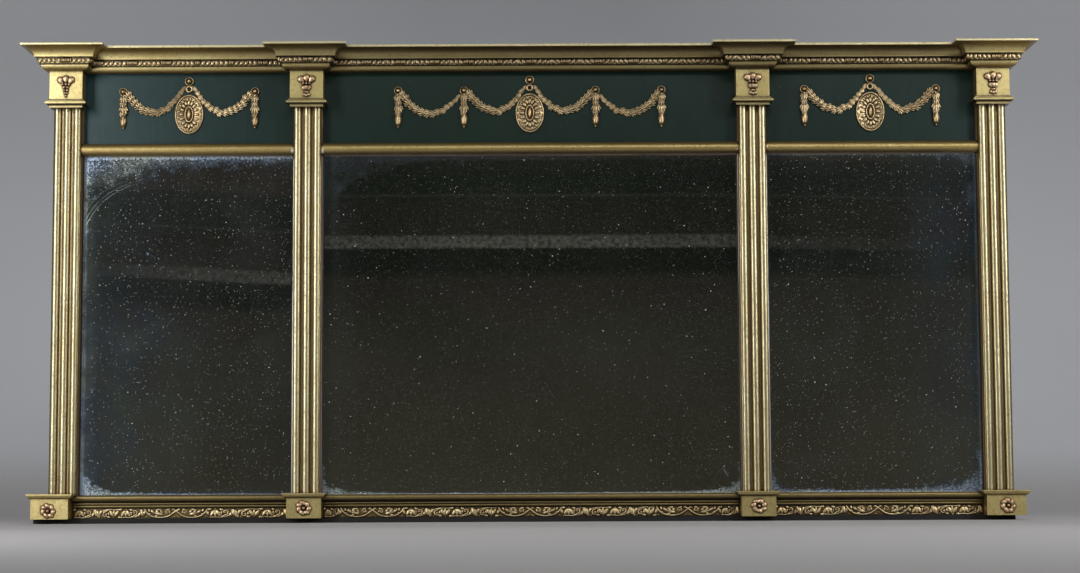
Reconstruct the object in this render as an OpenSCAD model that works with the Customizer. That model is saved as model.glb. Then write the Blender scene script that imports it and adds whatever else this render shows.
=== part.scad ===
// Overmantel mirror in the Regency manner: three silvered plates between reeded cluster columns,
// under a break-front cornice and a frieze hung with swags, on a moulded base.
// x runs to the right, y runs away from the viewer and z runs up. The origin lies under the middle
// of the bottom rail, halfway through the thickness of the carcass.

/* [Overall] */
// Width over the outer cornice caps
overall_w = 1400; // [1250:10:1700]
// Height from the shelf to the top of the cornice
overall_h = 652; // [600:2:800]
// Distance between the two inner columns
centre_bay_w = 619; // [540:1:700]
// Thickness of the carcass members
carcass_t = 22; // [20:1:28]
// Width of each stile and muntin
member_w = 40; // [40:1:44]

/* [Columns and dies] */
// Diameter of one reed
reed_d = 11; // [9:0.5:11.5]
// Distance between reeds
reed_pitch = 13.5; // [12:0.25:13.75]
// Projection of the columns from the carcass
column_proj = 14; // [11:0.5:18]
// Width of the dies over the columns
die_w = 46; // [42:1:50]
// Height of the dies
die_h = 40; // [36:0.5:46]
// Projection of the dies from the carcass
die_proj = 24; // [20:1:28]
// Height of the necking under each die
necking_h = 11; // [8:0.5:13]
// Overhang of the necking past the die
necking_proj = 5; // [3:0.5:7]

/* [Cornice] */
// Height of the top fillet
top_fillet_h = 3; // [2:0.5:7]
// Height of the cavetto
cavetto_h = 12; // [8:0.5:14]
// Height of the fillet under the cavetto
low_fillet_h = 1.5; // [1:0.5:2.5]
// Height of the laurel band
laurel_h = 8; // [6:0.5:10]
// Height of the quirk under the laurel band
quirk_h = 1.5; // [1:0.5:2.5]
// Height and depth of the ovolo
ovolo_r = 7.5; // [6:0.5:9]
// Projection of the top fillet
cornice_proj = 34; // [30:1:40]

/* [Frieze] */
// Height of the frieze that shows
frieze_h = 100.5; // [94:0.5:110]
// Height of the half-round transom bead
transom_h = 17.5; // [15:0.5:20]
// Thickness of the frieze panels
panel_t = 5; // [4:0.5:6]

/* [Base] */
// Height of a base block with its cap moulding
block_h = 34; // [32.5:0.5:38]
// Width of an inner base block
block_w = 47; // [44:1:52]
// Projection of the base blocks from the carcass
block_proj = 34; // [30:1:38]
// How far an outer block's outer face stands past the middle of its column
outer_block_reach = 30; // [25:1:34]
// Height of the cap moulding on a block
block_cap_h = 6.5; // [5:0.5:7]
// Height of the scroll band
scroll_h = 13.5; // [10:0.5:13.5]
// Height of one reed in the base moulding
base_reed_h = 3.6; // [3:0.1:4]
// Diameter of the roll at the top of the base moulding
base_roll_d = 9; // [6:0.5:9]

/* [Glass and boards] */
// Thickness of the lip that stands in front of the plates
lip_t = 5; // [4:0.5:6]
// Thickness of the mirror plates
glass_t = 4; // [3:0.5:5]
// Width of the rebate for plates and panels
rebate_w = 5; // [4:0.5:6]
// Extra width of the rebate for the backboards
board_ledge = 8; // [7:0.5:9]
// Thickness of the backboards
board_t = 5; // [4:0.5:6]
// Width of the slips beside the plates
slip_w = 1.5; // [1:0.5:3]

/* [Ornament] */
// Thickness of a swag at its middle
swag_t = 11; // [8:0.5:13]
// Sag of a swag below its buttons
swag_sag = 32; // [24:1:36]
// Width of the oval paterae
oval_w = 40; // [34:1:46]
// Height of the oval paterae
oval_h = 56; // [48:1:60]
// Diameter of the rosettes on the base blocks
rosette_d = 21; // [17:0.5:24]
// Width of the urn mounts on the dies
urn_w = 25; // [21:1:28]
// Height of the urn mounts
urn_h = 31; // [24:1:32]

/* [Hangers] */
// Height of the ring pivots above the shelf
pivot_z = 480; // [420:5:540]
// Diameter of the ring wire
wire_d = 4; // [3:0.5:4.5]
// Length of a ring from its pivot to its tip
ring_l = 22; // [20:1:24]
// Width of the hanger straps
strap_w = 12; // [10:0.5:13]
// Length of the straps below the pivot
strap_l = 50; // [48:1:60]
// Thickness of the strap metal
strap_t = 1.3; // [1:0.1:1.5]

/* [Fits] */
// Gap round a tenon and in a halved joint
joint_gap = 0.15; // [0.05:0.05:0.3]
// Gap between a plate, panel or board and its rebate
plate_gap = 1; // [0.5:0.25:1.5]
// Radial gap between a ring and the loop that holds it
pivot_gap = 0.7; // [0.5:0.1:1]
// Gap round a screw in its hole
screw_gap = 0.1; // [0.05:0.05:0.2]

/* [Hidden] */
$fn = 48;

// Colours of the finishes
GILT = "#a8955a";
COMPO = "#b08a5a";
PINE = "#b9945f";
FRIEZE = "#22322f";
SILVERED = "#8f9a98";
SLIP = "#d9d7ca";
IRON = "#55514a";
BRASS = "#b39448";

// Planes through the carcass
front_y = -carcass_t / 2;
back_y = carcass_t / 2;
plate_y = front_y + lip_t;
glass_back_y = plate_y + glass_t;
panel_back_y = plate_y + panel_t;
board_y = back_y - board_t;

// Cornice, from the bottom up
cornice_h = ovolo_r + quirk_h + laurel_h + low_fillet_h + cavetto_h + top_fillet_h;
cornice_z = overall_h - cornice_h;
quirk_z = cornice_z + ovolo_r;
laurel_z = quirk_z + quirk_h;
low_fillet_z = laurel_z + laurel_h;
cavetto_z = low_fillet_z + low_fillet_h;
top_fillet_z = cavetto_z + cavetto_h;
laurel_relief = 3.5;
ovolo_start = 2.5;
quirk_depth = 1;
laurel_setback = 3;
laurel_proj = ovolo_start + ovolo_r + laurel_setback;
cavetto_start = laurel_proj + laurel_relief + 1.5;
drip = 1.5;

// Columns and dies
column_w = 2 * reed_pitch + reed_d;
cap_w = die_w + 2 * cornice_proj;
die_z = cornice_z - die_h;
necking_z = die_z - necking_h;
die_y = front_y - die_proj;
outer_x = (overall_w - cap_w) / 2;
inner_x = centre_bay_w / 2;
COLUMNS = [-outer_x, -inner_x, inner_x, outer_x];

// Frieze and transom
cornice_lap = 1.5;
frieze_z1 = cornice_z + cornice_lap;
frieze_z0 = frieze_z1 - frieze_h;
transom_z = frieze_z0 - transom_h;
web_z0 = transom_z + rebate_w;
web_z1 = frieze_z0 - rebate_w;
rail_back_y = board_y;
halving_y = (front_y + rail_back_y) / 2;

// Base
block_y = front_y - block_proj;
block_cap_z = block_h - block_cap_h;
block_cap_proj = 5.5;
block_fillet_h = 2;
outer_block_half = (outer_block_reach + block_w / 2) / 2;
outer_block_x = outer_x + (outer_block_reach - block_w / 2) / 2;
// The left-hand end block stands further out than the right-hand one and is narrower.
left_block_shift = 9.9;
left_block_trim = 2.3;
left_block_half = outer_block_half - left_block_trim / 2;
left_block_x = outer_block_x + left_block_shift - left_block_trim / 2;
BLOCKS = [COLUMNS[0] - left_block_shift, COLUMNS[1], COLUMNS[2], COLUMNS[3]];
scroll_proj = 7;
scroll_relief = 2;
low_quirk_h = 1.4;
high_quirk_h = 1.2;
base_reeds_z = scroll_h + low_quirk_h;
base_roll_z = base_reeds_z + 2 * base_reed_h + high_quirk_h;
base_top = base_roll_z + base_roll_d;
base_reed_proj = 11;
base_roll_proj = 16;
mirror_z0 = base_top;
mirror_z1 = transom_z;

// Bays between the members, as [left, right] edges
half_member = member_w / 2;
BAYS = [for (i = [0:2]) [COLUMNS[i] + half_member, COLUMNS[i + 1] - half_member]];

// Tenons
tenon_l = 20;
foot_tenon_l = 12;
foot_tenon_w = 20;
tenon_y0 = -2;
tenon_y1 = board_y - 1;
shoulder = 4;

// Ornament
button_drop = 25;
button_z = cornice_z - button_drop;
button_r = 5.7;
ring_r = 5;
roundel_r = 6.2;
swag_end_t = 5;
oval_drop = 32;
oval_z = button_z - oval_drop;
ring_rise = 3;
roundel_rise = 14.5;
drop_l = 50;
side_button_x = 92;
ornament_relief = 6;
swag_relief = 5;
patera_t = 3;
husk_widths = [4.2, 5.2, 6.2];
urn_rise = 2.5;
urn_relief = 4;

// Hangers
bore_r = wire_d / 2 + pivot_gap;
loop_r = bore_r + strap_t;
loop_flat = 0.2;
pivot_y = back_y + loop_r - loop_flat;
hanger_offset = 6;
hanger_x = outer_x + hanger_offset;
ring_bend = 3;
ring_side_gap = 1;
leg_x = strap_w / 2 + ring_bend + ring_side_gap;
strap_screws = [28, 42];

// Screws
screw_r = 1.5;
screw_l = 12;
head_r = 2.8;
head_h = 1.5;
board_screw_x = rebate_w + board_ledge / 2;
BOARD_SCREW_Z = [for (part = [0.12, 0.5, 0.88]) mirror_z0 + part * (frieze_z1 - mirror_z0)];

// ---------------------------------------------------------------- helpers

// A box between two values on each axis.
module slab(x0, x1, y0, y1, z0, z1) {
    translate([x0, y0, z0]) cube([x1 - x0, y1 - y0, z1 - z0]);
}

// A rectangle in a section: from p0 to p1 forward and from z0 to z1 up.
module step(p0, p1, z0, z1) {
    translate([p0, z0]) square([p1 - p0, z1 - z0]);
}

// Runs a section, drawn as (projection from plane y, z), along x.
module along_x(x0, x1, y) {
    translate([x1, y, 0]) rotate([90, 0, -90]) linear_extrude(x1 - x0) children();
}

// Runs an outline, drawn as (x, z), along y.
module along_y(y0, y1) {
    translate([0, y1, 0]) rotate([90, 0, 0]) linear_extrude(y1 - y0) children();
}

// The shape as drawn on the right side, or its mirror image on the left.
module on_side(side) {
    if (side < 0) {
        mirror([1, 0, 0]) children();
    } else {
        children();
    }
}

// A section and its mirror image, each standing half_w from the middle.
module both_ways(x, half_w) {
    for (flip = [0, 1]) {
        translate([x, 0]) mirror([flip, 0]) translate([half_w, 0]) children();
    }
}

// A quarter round that swells forward as it rises.
module quarter_round(p, z, r) {
    intersection() {
        translate([p, z + r]) circle(r);
        step(p, p + r, z, z + r);
    }
}

// A low round of height h that stands `relief` proud of p.
module low_round(p, z, h, relief) {
    r = (h * h / 4 + relief * relief) / (2 * relief);
    intersection() {
        translate([p + relief - r, z + h / 2]) circle(r);
        step(p, p + relief, z, z + h);
    }
}

// A cove that springs forward from p0 to p1 as it rises from z0 to z1.
module cove(p0, p1, z0, z1) {
    run = p1 - p0;
    rise = z1 - z0;
    r = (run * run + rise * rise) / (2 * rise);
    difference() {
        step(p0, p1, z0, z1);
        translate([p1, z1 - r]) circle(r);
    }
}

// ---------------------------------------------------------------- sections

// The cornice, with `depth` of stock behind its plane.
module cornice_section(depth) {
    step(-depth, ovolo_start, cornice_z, overall_h);
    quarter_round(ovolo_start, cornice_z, ovolo_r);
    step(0, ovolo_start + ovolo_r - quirk_depth, quirk_z, laurel_z);
    step(0, laurel_proj, laurel_z, low_fillet_z);
    step(0, cavetto_start, low_fillet_z, cavetto_z);
    step(0, cavetto_start, cavetto_z, top_fillet_z);
    cove(cavetto_start, cornice_proj - drip, cavetto_z, top_fillet_z);
    step(0, cornice_proj, top_fillet_z, overall_h);
}

// The round of the laurel band, with `depth` of stock behind it.
module laurel_section(depth) {
    if (depth > 0) {
        step(laurel_proj - depth, laurel_proj, laurel_z, low_fillet_z);
    }
    low_round(laurel_proj, laurel_z, laurel_h, laurel_relief);
}

// The necking: a cove under a fillet under a small round.
module necking_section(depth) {
    fillet_z0 = necking_z + 0.45 * necking_h;
    fillet_z1 = necking_z + 0.7 * necking_h;
    step(-depth, 0, necking_z, die_z);
    cove(0, necking_proj - 0.8, necking_z, fillet_z0);
    step(0, necking_proj, fillet_z0, fillet_z1);
    low_round(0, fillet_z1, die_z - fillet_z1, necking_proj / 2);
}

// The moulding round the top of a base block.
module block_cap_section(depth) {
    round_r = block_cap_h - block_fillet_h;
    step(-depth, 0, block_cap_z, block_h);
    quarter_round(0, block_cap_z, round_r);
    step(0, block_cap_proj, block_h - block_fillet_h, block_h);
}

// The base moulding: a ground for the scrolls, two reeds and a roll.
module base_section() {
    step(0, scroll_proj, 0, scroll_h);
    step(0, scroll_proj - quirk_depth, scroll_h, base_roll_z);
    for (i = [0, 1]) {
        z = base_reeds_z + i * base_reed_h;
        step(0, base_reed_proj - base_reed_h / 2, z, z + base_reed_h);
        low_round(base_reed_proj - base_reed_h / 2, z, base_reed_h, 0.45 * base_reed_h);
    }
    roll_p = base_roll_proj - base_roll_d / 2;
    step(0, roll_p, base_roll_z, base_top);
    translate([roll_p, base_roll_z + base_roll_d / 2]) circle(base_roll_d / 2);
}

// ---------------------------------------------------------------- carcass

// Everything cut away behind one bay: rebates for its plate, its panel and its backboard.
module bay_rebates(i) {
    x0 = BAYS[i][0] - rebate_w;
    x1 = BAYS[i][1] + rebate_w;
    slab(x0, x1, plate_y, back_y + 1, mirror_z0 - rebate_w, mirror_z1 + rebate_w);
    slab(x0, x1, plate_y, back_y + 1, frieze_z0 - rebate_w, frieze_z1 + rebate_w);
    slab(x0 - board_ledge, x1 + board_ledge, board_y, back_y + 1,
        mirror_z0 - rebate_w - board_ledge, frieze_z1 + rebate_w + board_ledge);
}

// A tenon, or its mortise when `gap` is the gap round it, running in x.
module tenon_x(x0, x1, z0, z1, gap) {
    slab(x0 - gap, x1 + gap, tenon_y0 - gap, tenon_y1 + gap, z0 - gap, z1 + gap);
}

// The tenons at one end of the three rails, or their mortises.
module rail_tenons(gap) {
    x0 = outer_x - half_member;
    tenon_x(x0, x0 + tenon_l, shoulder, mirror_z0 - rebate_w - shoulder, gap);
    tenon_x(x0, x0 + tenon_l, web_z0 + 1, web_z1 - 1, gap);
    tenon_x(x0, x0 + tenon_l, frieze_z1 + rebate_w + shoulder, overall_h - shoulder, gap);
}

// The tenons at the foot and head of a muntin, or their mortises.
module muntin_tenons(x, gap) {
    for (z = [[mirror_z0 - foot_tenon_l, mirror_z0], [frieze_z1, frieze_z1 + foot_tenon_l]]) {
        slab(x - foot_tenon_w / 2 - gap, x + foot_tenon_w / 2 + gap,
            tenon_y0 - gap, tenon_y1 + gap, z[0] - gap, z[1] + gap);
    }
}

// The holes that the backboard screws of one bay take.
module board_screw_holes(i) {
    for (x = [BAYS[i][0] - board_screw_x, BAYS[i][1] + board_screw_x], z = BOARD_SCREW_Z) {
        screw_hole(x, back_y, z);
    }
}

module stile() {
    difference() {
        slab(outer_x - half_member, outer_x + half_member, front_y, back_y, 0, overall_h);
        bay_rebates(2);
        rail_tenons(joint_gap);
        board_screw_holes(2);
        for (down = strap_screws) {
            screw_hole(hanger_x, back_y + strap_t, pivot_z - down);
        }
    }
}

module left_stile() {
    color(PINE) on_side(-1) stile();
}

module right_stile() {
    color(PINE) on_side(1) stile();
}

module muntin() {
    difference() {
        union() {
            slab(inner_x - half_member, inner_x + half_member, front_y, back_y,
                mirror_z0, frieze_z1);
            muntin_tenons(inner_x, 0);
        }
        bay_rebates(1);
        bay_rebates(2);
        slab(inner_x - half_member - 1, inner_x + half_member + 1, halving_y, back_y + 1,
            web_z0 - joint_gap, web_z1 + joint_gap);
        board_screw_holes(1);
        board_screw_holes(2);
    }
}

module left_muntin() {
    color(PINE) on_side(-1) muntin();
}

module right_muntin() {
    color(PINE) on_side(1) muntin();
}

// A rail between the stiles, cut by the rebates of the three bays.
module rail(z0, z1, y1) {
    difference() {
        union() {
            slab(-outer_x + half_member, outer_x - half_member, front_y, y1, z0, z1);
            intersection() {
                for (side = [-1, 1]) {
                    on_side(side) rail_tenons(0);
                }
                slab(-outer_x, outer_x, front_y, y1, z0, z1);
            }
        }
        for (i = [0:2]) {
            bay_rebates(i);
        }
    }
}

module top_rail() {
    color(PINE) difference() {
        rail(frieze_z1, overall_h, back_y);
        for (side = [-1, 1]) {
            muntin_tenons(side * inner_x, joint_gap);
        }
    }
}

module bottom_rail() {
    color(PINE) difference() {
        rail(0, mirror_z0, back_y);
        for (side = [-1, 1]) {
            muntin_tenons(side * inner_x, joint_gap);
        }
    }
}

// Halved over the backs of the muntins, so that it runs through from stile to stile.
module frieze_rail() {
    color(PINE) difference() {
        rail(transom_z, frieze_z0, rail_back_y);
        for (side = [-1, 1]) {
            x = side * inner_x;
            slab(x - half_member - joint_gap, x + half_member + joint_gap,
                front_y - 1, halving_y + joint_gap, transom_z - 1, frieze_z0 + 1);
            for (z = [[transom_z - 1, web_z0], [web_z1, frieze_z0 + 1]]) {
                slab(x - half_member - joint_gap, x + half_member + joint_gap,
                    halving_y, rail_back_y + 1, z[0], z[1]);
            }
        }
    }
}

// ---------------------------------------------------------------- columns

// Three half-round reeds on one flat ground.
module column(x) {
    ground_y = front_y - column_proj + reed_d / 2;
    slab(x - column_w / 2, x + column_w / 2, ground_y, front_y, block_h, necking_z);
    for (i = [-1:1]) {
        translate([x + i * reed_pitch, ground_y, block_h]) cylinder(h = necking_z - block_h, d = reed_d);
    }
}

module left_outer_column() {
    color(GILT) column(COLUMNS[0]);
}

module left_inner_column() {
    color(GILT) column(COLUMNS[1]);
}

module right_inner_column() {
    color(GILT) column(COLUMNS[2]);
}

module right_outer_column() {
    color(GILT) column(COLUMNS[3]);
}

// A moulding mitred round the front and both sides of a block on the carcass.
module wrap_moulding(x, half_w, y) {
    intersection() {
        along_y(y - cornice_proj - 1, front_y) both_ways(x, half_w) children(0);
        along_x(x - half_w - cornice_proj - 1, x + half_w + cornice_proj + 1, y) children(1);
    }
}

module neckings() {
    color(GILT) for (x = COLUMNS) {
        wrap_moulding(x, die_w / 2, die_y) {
            necking_section(die_w / 2);
            necking_section(die_proj);
        }
    }
}

module die(x) {
    slab(x - die_w / 2, x + die_w / 2, die_y, front_y, die_z, cornice_z);
}

module left_outer_die() {
    color(GILT) die(COLUMNS[0]);
}

module left_inner_die() {
    color(GILT) die(COLUMNS[1]);
}

module right_inner_die() {
    color(GILT) die(COLUMNS[2]);
}

module right_outer_die() {
    color(GILT) die(COLUMNS[3]);
}

// ---------------------------------------------------------------- cornice

// The outline of a cap from the front, as (x, z).
module cap_outline(x) {
    both_ways(x, die_w / 2) cornice_section(die_w / 2);
}

module inner_cap(x) {
    wrap_moulding(x, die_w / 2, die_y) {
        cornice_section(die_w / 2);
        cornice_section(die_proj);
    }
}

// The outer caps return along the side of the stile to the back of the carcass.
module outer_cap() {
    difference() {
        intersection() {
            along_y(die_y - cornice_proj, back_y) cap_outline(outer_x);
            along_x(outer_x - cap_w, outer_x + cap_w, die_y)
                cornice_section(die_proj + carcass_t);
        }
        slab(outer_x - cap_w, outer_x + half_member, front_y, back_y + 1, 0, overall_h + 1);
    }
}

module left_outer_cap() {
    color(GILT) on_side(-1) outer_cap();
}

module left_inner_cap() {
    color(GILT) inner_cap(COLUMNS[1]);
}

module right_inner_cap() {
    color(GILT) inner_cap(COLUMNS[2]);
}

module right_outer_cap() {
    color(GILT) on_side(1) outer_cap();
}

// One run of cornice, coped to the caps at its ends.
module cornice_run(i) {
    difference() {
        along_x(COLUMNS[i], COLUMNS[i + 1], front_y) cornice_section(0);
        along_y(front_y - cornice_proj - 1, front_y + 1) {
            cap_outline(COLUMNS[i]);
            cap_outline(COLUMNS[i + 1]);
        }
    }
}

module left_cornice() {
    color(GILT) cornice_run(0);
}

module centre_cornice() {
    color(GILT) cornice_run(1);
}

module right_cornice() {
    color(GILT) cornice_run(2);
}

// The laurel band round a cap, back to y1 on the right-hand side.
module cap_laurel(x, y1) {
    difference() {
        intersection() {
            along_y(die_y - cornice_proj, y1) both_ways(x, die_w / 2)
                laurel_section(laurel_proj + die_w / 2);
            along_x(x - cap_w, x + cap_w, die_y) laurel_section(laurel_proj + die_proj + carcass_t);
        }
        slab(x - die_w / 2 - laurel_proj, x + die_w / 2 + laurel_proj,
            die_y - laurel_proj, back_y + 1, 0, overall_h);
        slab(x - cap_w, x, front_y - laurel_proj, back_y + 1, 0, overall_h);
    }
}

module cap_laurel_bands() {
    color(COMPO) for (side = [-1, 1]) {
        on_side(side) cap_laurel(outer_x, back_y);
        on_side(side) cap_laurel(inner_x, front_y - laurel_proj);
    }
}

module laurel_run(i) {
    difference() {
        along_x(COLUMNS[i], COLUMNS[i + 1], front_y) laurel_section(0);
        for (x = [COLUMNS[i], COLUMNS[i + 1]]) {
            along_y(front_y - cornice_proj, front_y + 1) both_ways(x, die_w / 2)
                laurel_section(laurel_proj + die_w / 2);
        }
    }
}

module left_laurel_band() {
    color(COMPO) laurel_run(0);
}

module centre_laurel_band() {
    color(COMPO) laurel_run(1);
}

module right_laurel_band() {
    color(COMPO) laurel_run(2);
}

// ---------------------------------------------------------------- base

module inner_block(x) {
    slab(x - block_w / 2, x + block_w / 2, block_y, front_y, 0, block_cap_z);
    wrap_moulding(x, block_w / 2, block_y) {
        block_cap_section(block_w / 2);
        block_cap_section(block_proj);
    }
}

// The outer blocks return along the side of the stile to the back of the carcass.
module outer_block(x, half) {
    difference() {
        union() {
            slab(x - half, x + half,
                block_y, back_y, 0, block_cap_z);
            intersection() {
                along_y(block_y - block_cap_proj, back_y)
                    both_ways(x, half) block_cap_section(half);
                along_x(outer_x - cap_w, outer_x + cap_w, block_y)
                    block_cap_section(block_proj + carcass_t);
            }
        }
        slab(outer_x - cap_w, outer_x + half_member, front_y, back_y + 1, -1, block_h + 1);
    }
}

module left_outer_block() {
    color(GILT) on_side(-1) outer_block(left_block_x, left_block_half);
}

module left_inner_block() {
    color(GILT) inner_block(COLUMNS[1]);
}

module right_inner_block() {
    color(GILT) inner_block(COLUMNS[2]);
}

module right_outer_block() {
    color(GILT) on_side(1) outer_block(outer_block_x, outer_block_half);
}

// The outline of the block over x from the front, as (x, z).
module block_outline(x) {
    both_ways(x, block_w / 2) {
        step(-block_w / 2, 0, -1, block_cap_z);
        block_cap_section(block_w / 2);
    }
}

// One run of base moulding, coped to the blocks at its ends.
module base_run(i) {
    difference() {
        along_x(COLUMNS[i], COLUMNS[i + 1], front_y) base_section();
        along_y(block_y, front_y + 1) {
            block_outline(BLOCKS[i]);
            block_outline(BLOCKS[i + 1]);
        }
    }
}

module left_base_moulding() {
    color(GILT) base_run(0);
}

module centre_base_moulding() {
    color(GILT) base_run(1);
}

module right_base_moulding() {
    color(GILT) base_run(2);
}

// The compo band of scrolls on the ground of the base moulding.
module scroll_run(i) {
    margin = scroll_h / 13;
    y = front_y - scroll_proj;
    slab(BLOCKS[i] + block_w / 2, BLOCKS[i + 1] - block_w / 2,
        y - scroll_relief, y, margin, scroll_h - margin / 2);
}

module left_scroll_band() {
    color(COMPO) scroll_run(0);
}

module centre_scroll_band() {
    color(COMPO) scroll_run(1);
}

module right_scroll_band() {
    color(COMPO) scroll_run(2);
}

module rosette(x) {
    petals = 8;
    petal_r = rosette_d / 5.4;
    translate([x, block_y, block_cap_z / 2]) rotate([90, 0, 0]) {
        linear_extrude(2) {
            circle(rosette_d / 2 - petal_r);
            for (i = [0:petals - 1]) {
                rotate(i * 360 / petals) translate([rosette_d / 2 - petal_r, 0]) circle(petal_r);
            }
        }
        cylinder(h = 3, r = rosette_d / 6);
    }
}

module rosettes() {
    color(COMPO) for (x = [-left_block_x, -inner_x, inner_x, outer_block_x]) {
        rosette(x);
    }
}

// ---------------------------------------------------------------- frieze

// A plate, panel or board that fills bay i behind its members.
module bay_sheet(i, margin, y0, y1, z0, z1) {
    reach = margin - plate_gap;
    slab(BAYS[i][0] - reach, BAYS[i][1] + reach, y0, y1, z0 - reach, z1 + reach);
}

module frieze_panel(i) {
    bay_sheet(i, rebate_w, plate_y, panel_back_y, frieze_z0, frieze_z1);
}

module left_frieze_panel() {
    color(FRIEZE) frieze_panel(0);
}

module centre_frieze_panel() {
    color(FRIEZE) frieze_panel(1);
}

module right_frieze_panel() {
    color(FRIEZE) frieze_panel(2);
}

// A swag between two points at one height, thickest at its middle.
module swag(x0, x1, z) {
    x = (x0 + x1) / 2;
    half = (x1 - x0) / 2;
    low_half = half + swag_end_t / 2;
    low_sag = swag_sag + swag_t / 2;
    low_r = (low_half * low_half + low_sag * low_sag) / (2 * low_sag);
    top_half = half - swag_end_t / 2;
    top_sag = swag_sag - swag_t / 2;
    top_r = (top_half * top_half + top_sag * top_sag) / (2 * top_sag);
    along_y(plate_y - swag_relief, plate_y) intersection() {
        difference() {
            translate([x, z - low_sag + low_r]) circle(low_r);
            translate([x, z - top_sag + top_r]) circle(top_r);
        }
        step(x - low_half, x + low_half, z - low_sag, z);
    }
}

// A chain of three husks hung from a button, rounded forward from the panel.
module husk_drop(x) {
    top = button_z - button_r + 2;
    husk_l = drop_l / 3 + 0.5;
    for (i = [0:2]) {
        z = top - i * drop_l / 3;
        translate([x, plate_y, z]) rotate([0, 0, 180]) rotate_extrude(angle = 180) polygon([
            [0, 0],
            [husk_widths[i] * 0.45, 0],
            [husk_widths[i], -husk_l * 0.55],
            [husk_widths[i] * 0.5, -husk_l],
            [0, -husk_l]
        ]);
    }
}

// A round boss on the panel.
module button(x, z, r) {
    translate([x, plate_y, z]) rotate([90, 0, 0]) {
        cylinder(h = patera_t, r = r);
        cylinder(h = ornament_relief, r = r / 2);
    }
}

// The oval patera with the ring and roundel that it hangs from.
module patera(x) {
    rim = 5;
    stem_w = 3;
    along_y(plate_y - patera_t, plate_y) translate([x, oval_z])
        polygon([for (a = [0:10:350]) [oval_w / 2 * cos(a), oval_h / 2 * sin(a)]]);
    along_y(plate_y - ornament_relief, plate_y) translate([x, oval_z])
        polygon([for (a = [0:15:345]) [(oval_w / 2 - rim) * cos(a), (oval_h / 2 - rim) * sin(a)]]);
    button(x, button_z + ring_rise, ring_r);
    button(x, button_z + roundel_rise, roundel_r);
    slab(x - stem_w / 2, x + stem_w / 2, plate_y - patera_t, plate_y,
        oval_z, button_z + roundel_rise);
}

// The swags of bay i: from the patera out to `reach` buttons on each side.
module festoon(i, reach) {
    x = (COLUMNS[i] + COLUMNS[i + 1]) / 2;
    patera(x);
    for (side = [-1, 1], n = [1:reach]) {
        near = x + side * (n - 1) * side_button_x;
        far = x + side * n * side_button_x;
        swag(min(near, far), max(near, far), button_z);
        button(far, button_z, button_r);
        husk_drop(far);
    }
}

module left_festoon() {
    color(COMPO) festoon(0, 1);
}

module centre_festoon() {
    color(COMPO) festoon(1, 2);
}

module right_festoon() {
    color(COMPO) festoon(2, 1);
}

// A basket of flowers on a foot, one on each die.
module urn_mount(x) {
    along_y(die_y - urn_relief, die_y) translate([x, die_z + urn_rise]) {
        polygon([
            [-urn_w * 0.19, 0],
            [urn_w * 0.19, 0],
            [urn_w * 0.12, urn_h * 0.14],
            [urn_w * 0.34, urn_h * 0.6],
            [-urn_w * 0.34, urn_h * 0.6],
            [-urn_w * 0.12, urn_h * 0.14]
        ]);
        translate([0, urn_h * 0.75]) circle(urn_h * 0.25);
        for (side = [-1, 1]) {
            translate([side * urn_w * 0.27, urn_h * 0.7]) circle(urn_w * 0.23);
        }
    }
}

module urn_mounts() {
    color(COMPO) for (x = COLUMNS) {
        urn_mount(x);
    }
}

// ---------------------------------------------------------------- transom and glass

// A half round between two columns.
module transom_bead(i) {
    r = transom_h / 2;
    x0 = COLUMNS[i] + column_w / 2;
    x1 = COLUMNS[i + 1] - column_w / 2;
    along_x(x0, x1, front_y) intersection() {
        translate([0, transom_z + r]) circle(r);
        step(0, r, transom_z, frieze_z0);
    }
}

module left_transom_bead() {
    color(GILT) transom_bead(0);
}

module centre_transom_bead() {
    color(GILT) transom_bead(1);
}

module right_transom_bead() {
    color(GILT) transom_bead(2);
}

module mirror_plate(i) {
    bay_sheet(i, rebate_w, plate_y, glass_back_y, mirror_z0, mirror_z1);
}

module left_mirror_plate() {
    color(SILVERED) mirror_plate(0);
}

module centre_mirror_plate() {
    color(SILVERED) mirror_plate(1);
}

module right_mirror_plate() {
    color(SILVERED) mirror_plate(2);
}

// Bright strips that cover the edge of each plate beside the columns.
module glass_slips() {
    color(SLIP) for (bay = BAYS) {
        slab(bay[0], bay[0] + slip_w, front_y, plate_y, mirror_z0, mirror_z1);
        slab(bay[1] - slip_w, bay[1], front_y, plate_y, mirror_z0, mirror_z1);
    }
}

// Blocks glued in the rebates behind the plates and panels.
module glazing_blocks() {
    block_l = 45;
    inset = 0.5;
    color(PINE) for (bay = BAYS) {
        for (x = [bay[0] - rebate_w + inset, bay[1] + inset]) {
            for (part = [0.2, 0.8]) {
                z = mirror_z0 + part * (mirror_z1 - mirror_z0) - block_l / 2;
                slab(x, x + rebate_w - 2 * inset, glass_back_y, board_y, z, z + block_l);
            }
            z = (frieze_z0 + frieze_z1 - block_l) / 2;
            slab(x, x + rebate_w - 2 * inset, panel_back_y, board_y, z, z + block_l);
        }
        for (part = [0.2, 0.8]) {
            x = bay[0] + part * (bay[1] - bay[0]) - block_l / 2;
            slab(x, x + block_l, glass_back_y, board_y,
                mirror_z0 - rebate_w + inset, mirror_z0 - inset);
            slab(x, x + block_l, panel_back_y, board_y,
                frieze_z1 + inset, frieze_z1 + rebate_w - inset);
        }
    }
}

module backboard(i) {
    difference() {
        bay_sheet(i, rebate_w + board_ledge, board_y, back_y, mirror_z0, frieze_z1);
        board_screw_holes(i);
    }
}

module left_backboard() {
    color(PINE) backboard(0);
}

module centre_backboard() {
    color(PINE) backboard(1);
}

module right_backboard() {
    color(PINE) backboard(2);
}

// ---------------------------------------------------------------- hardware

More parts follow.
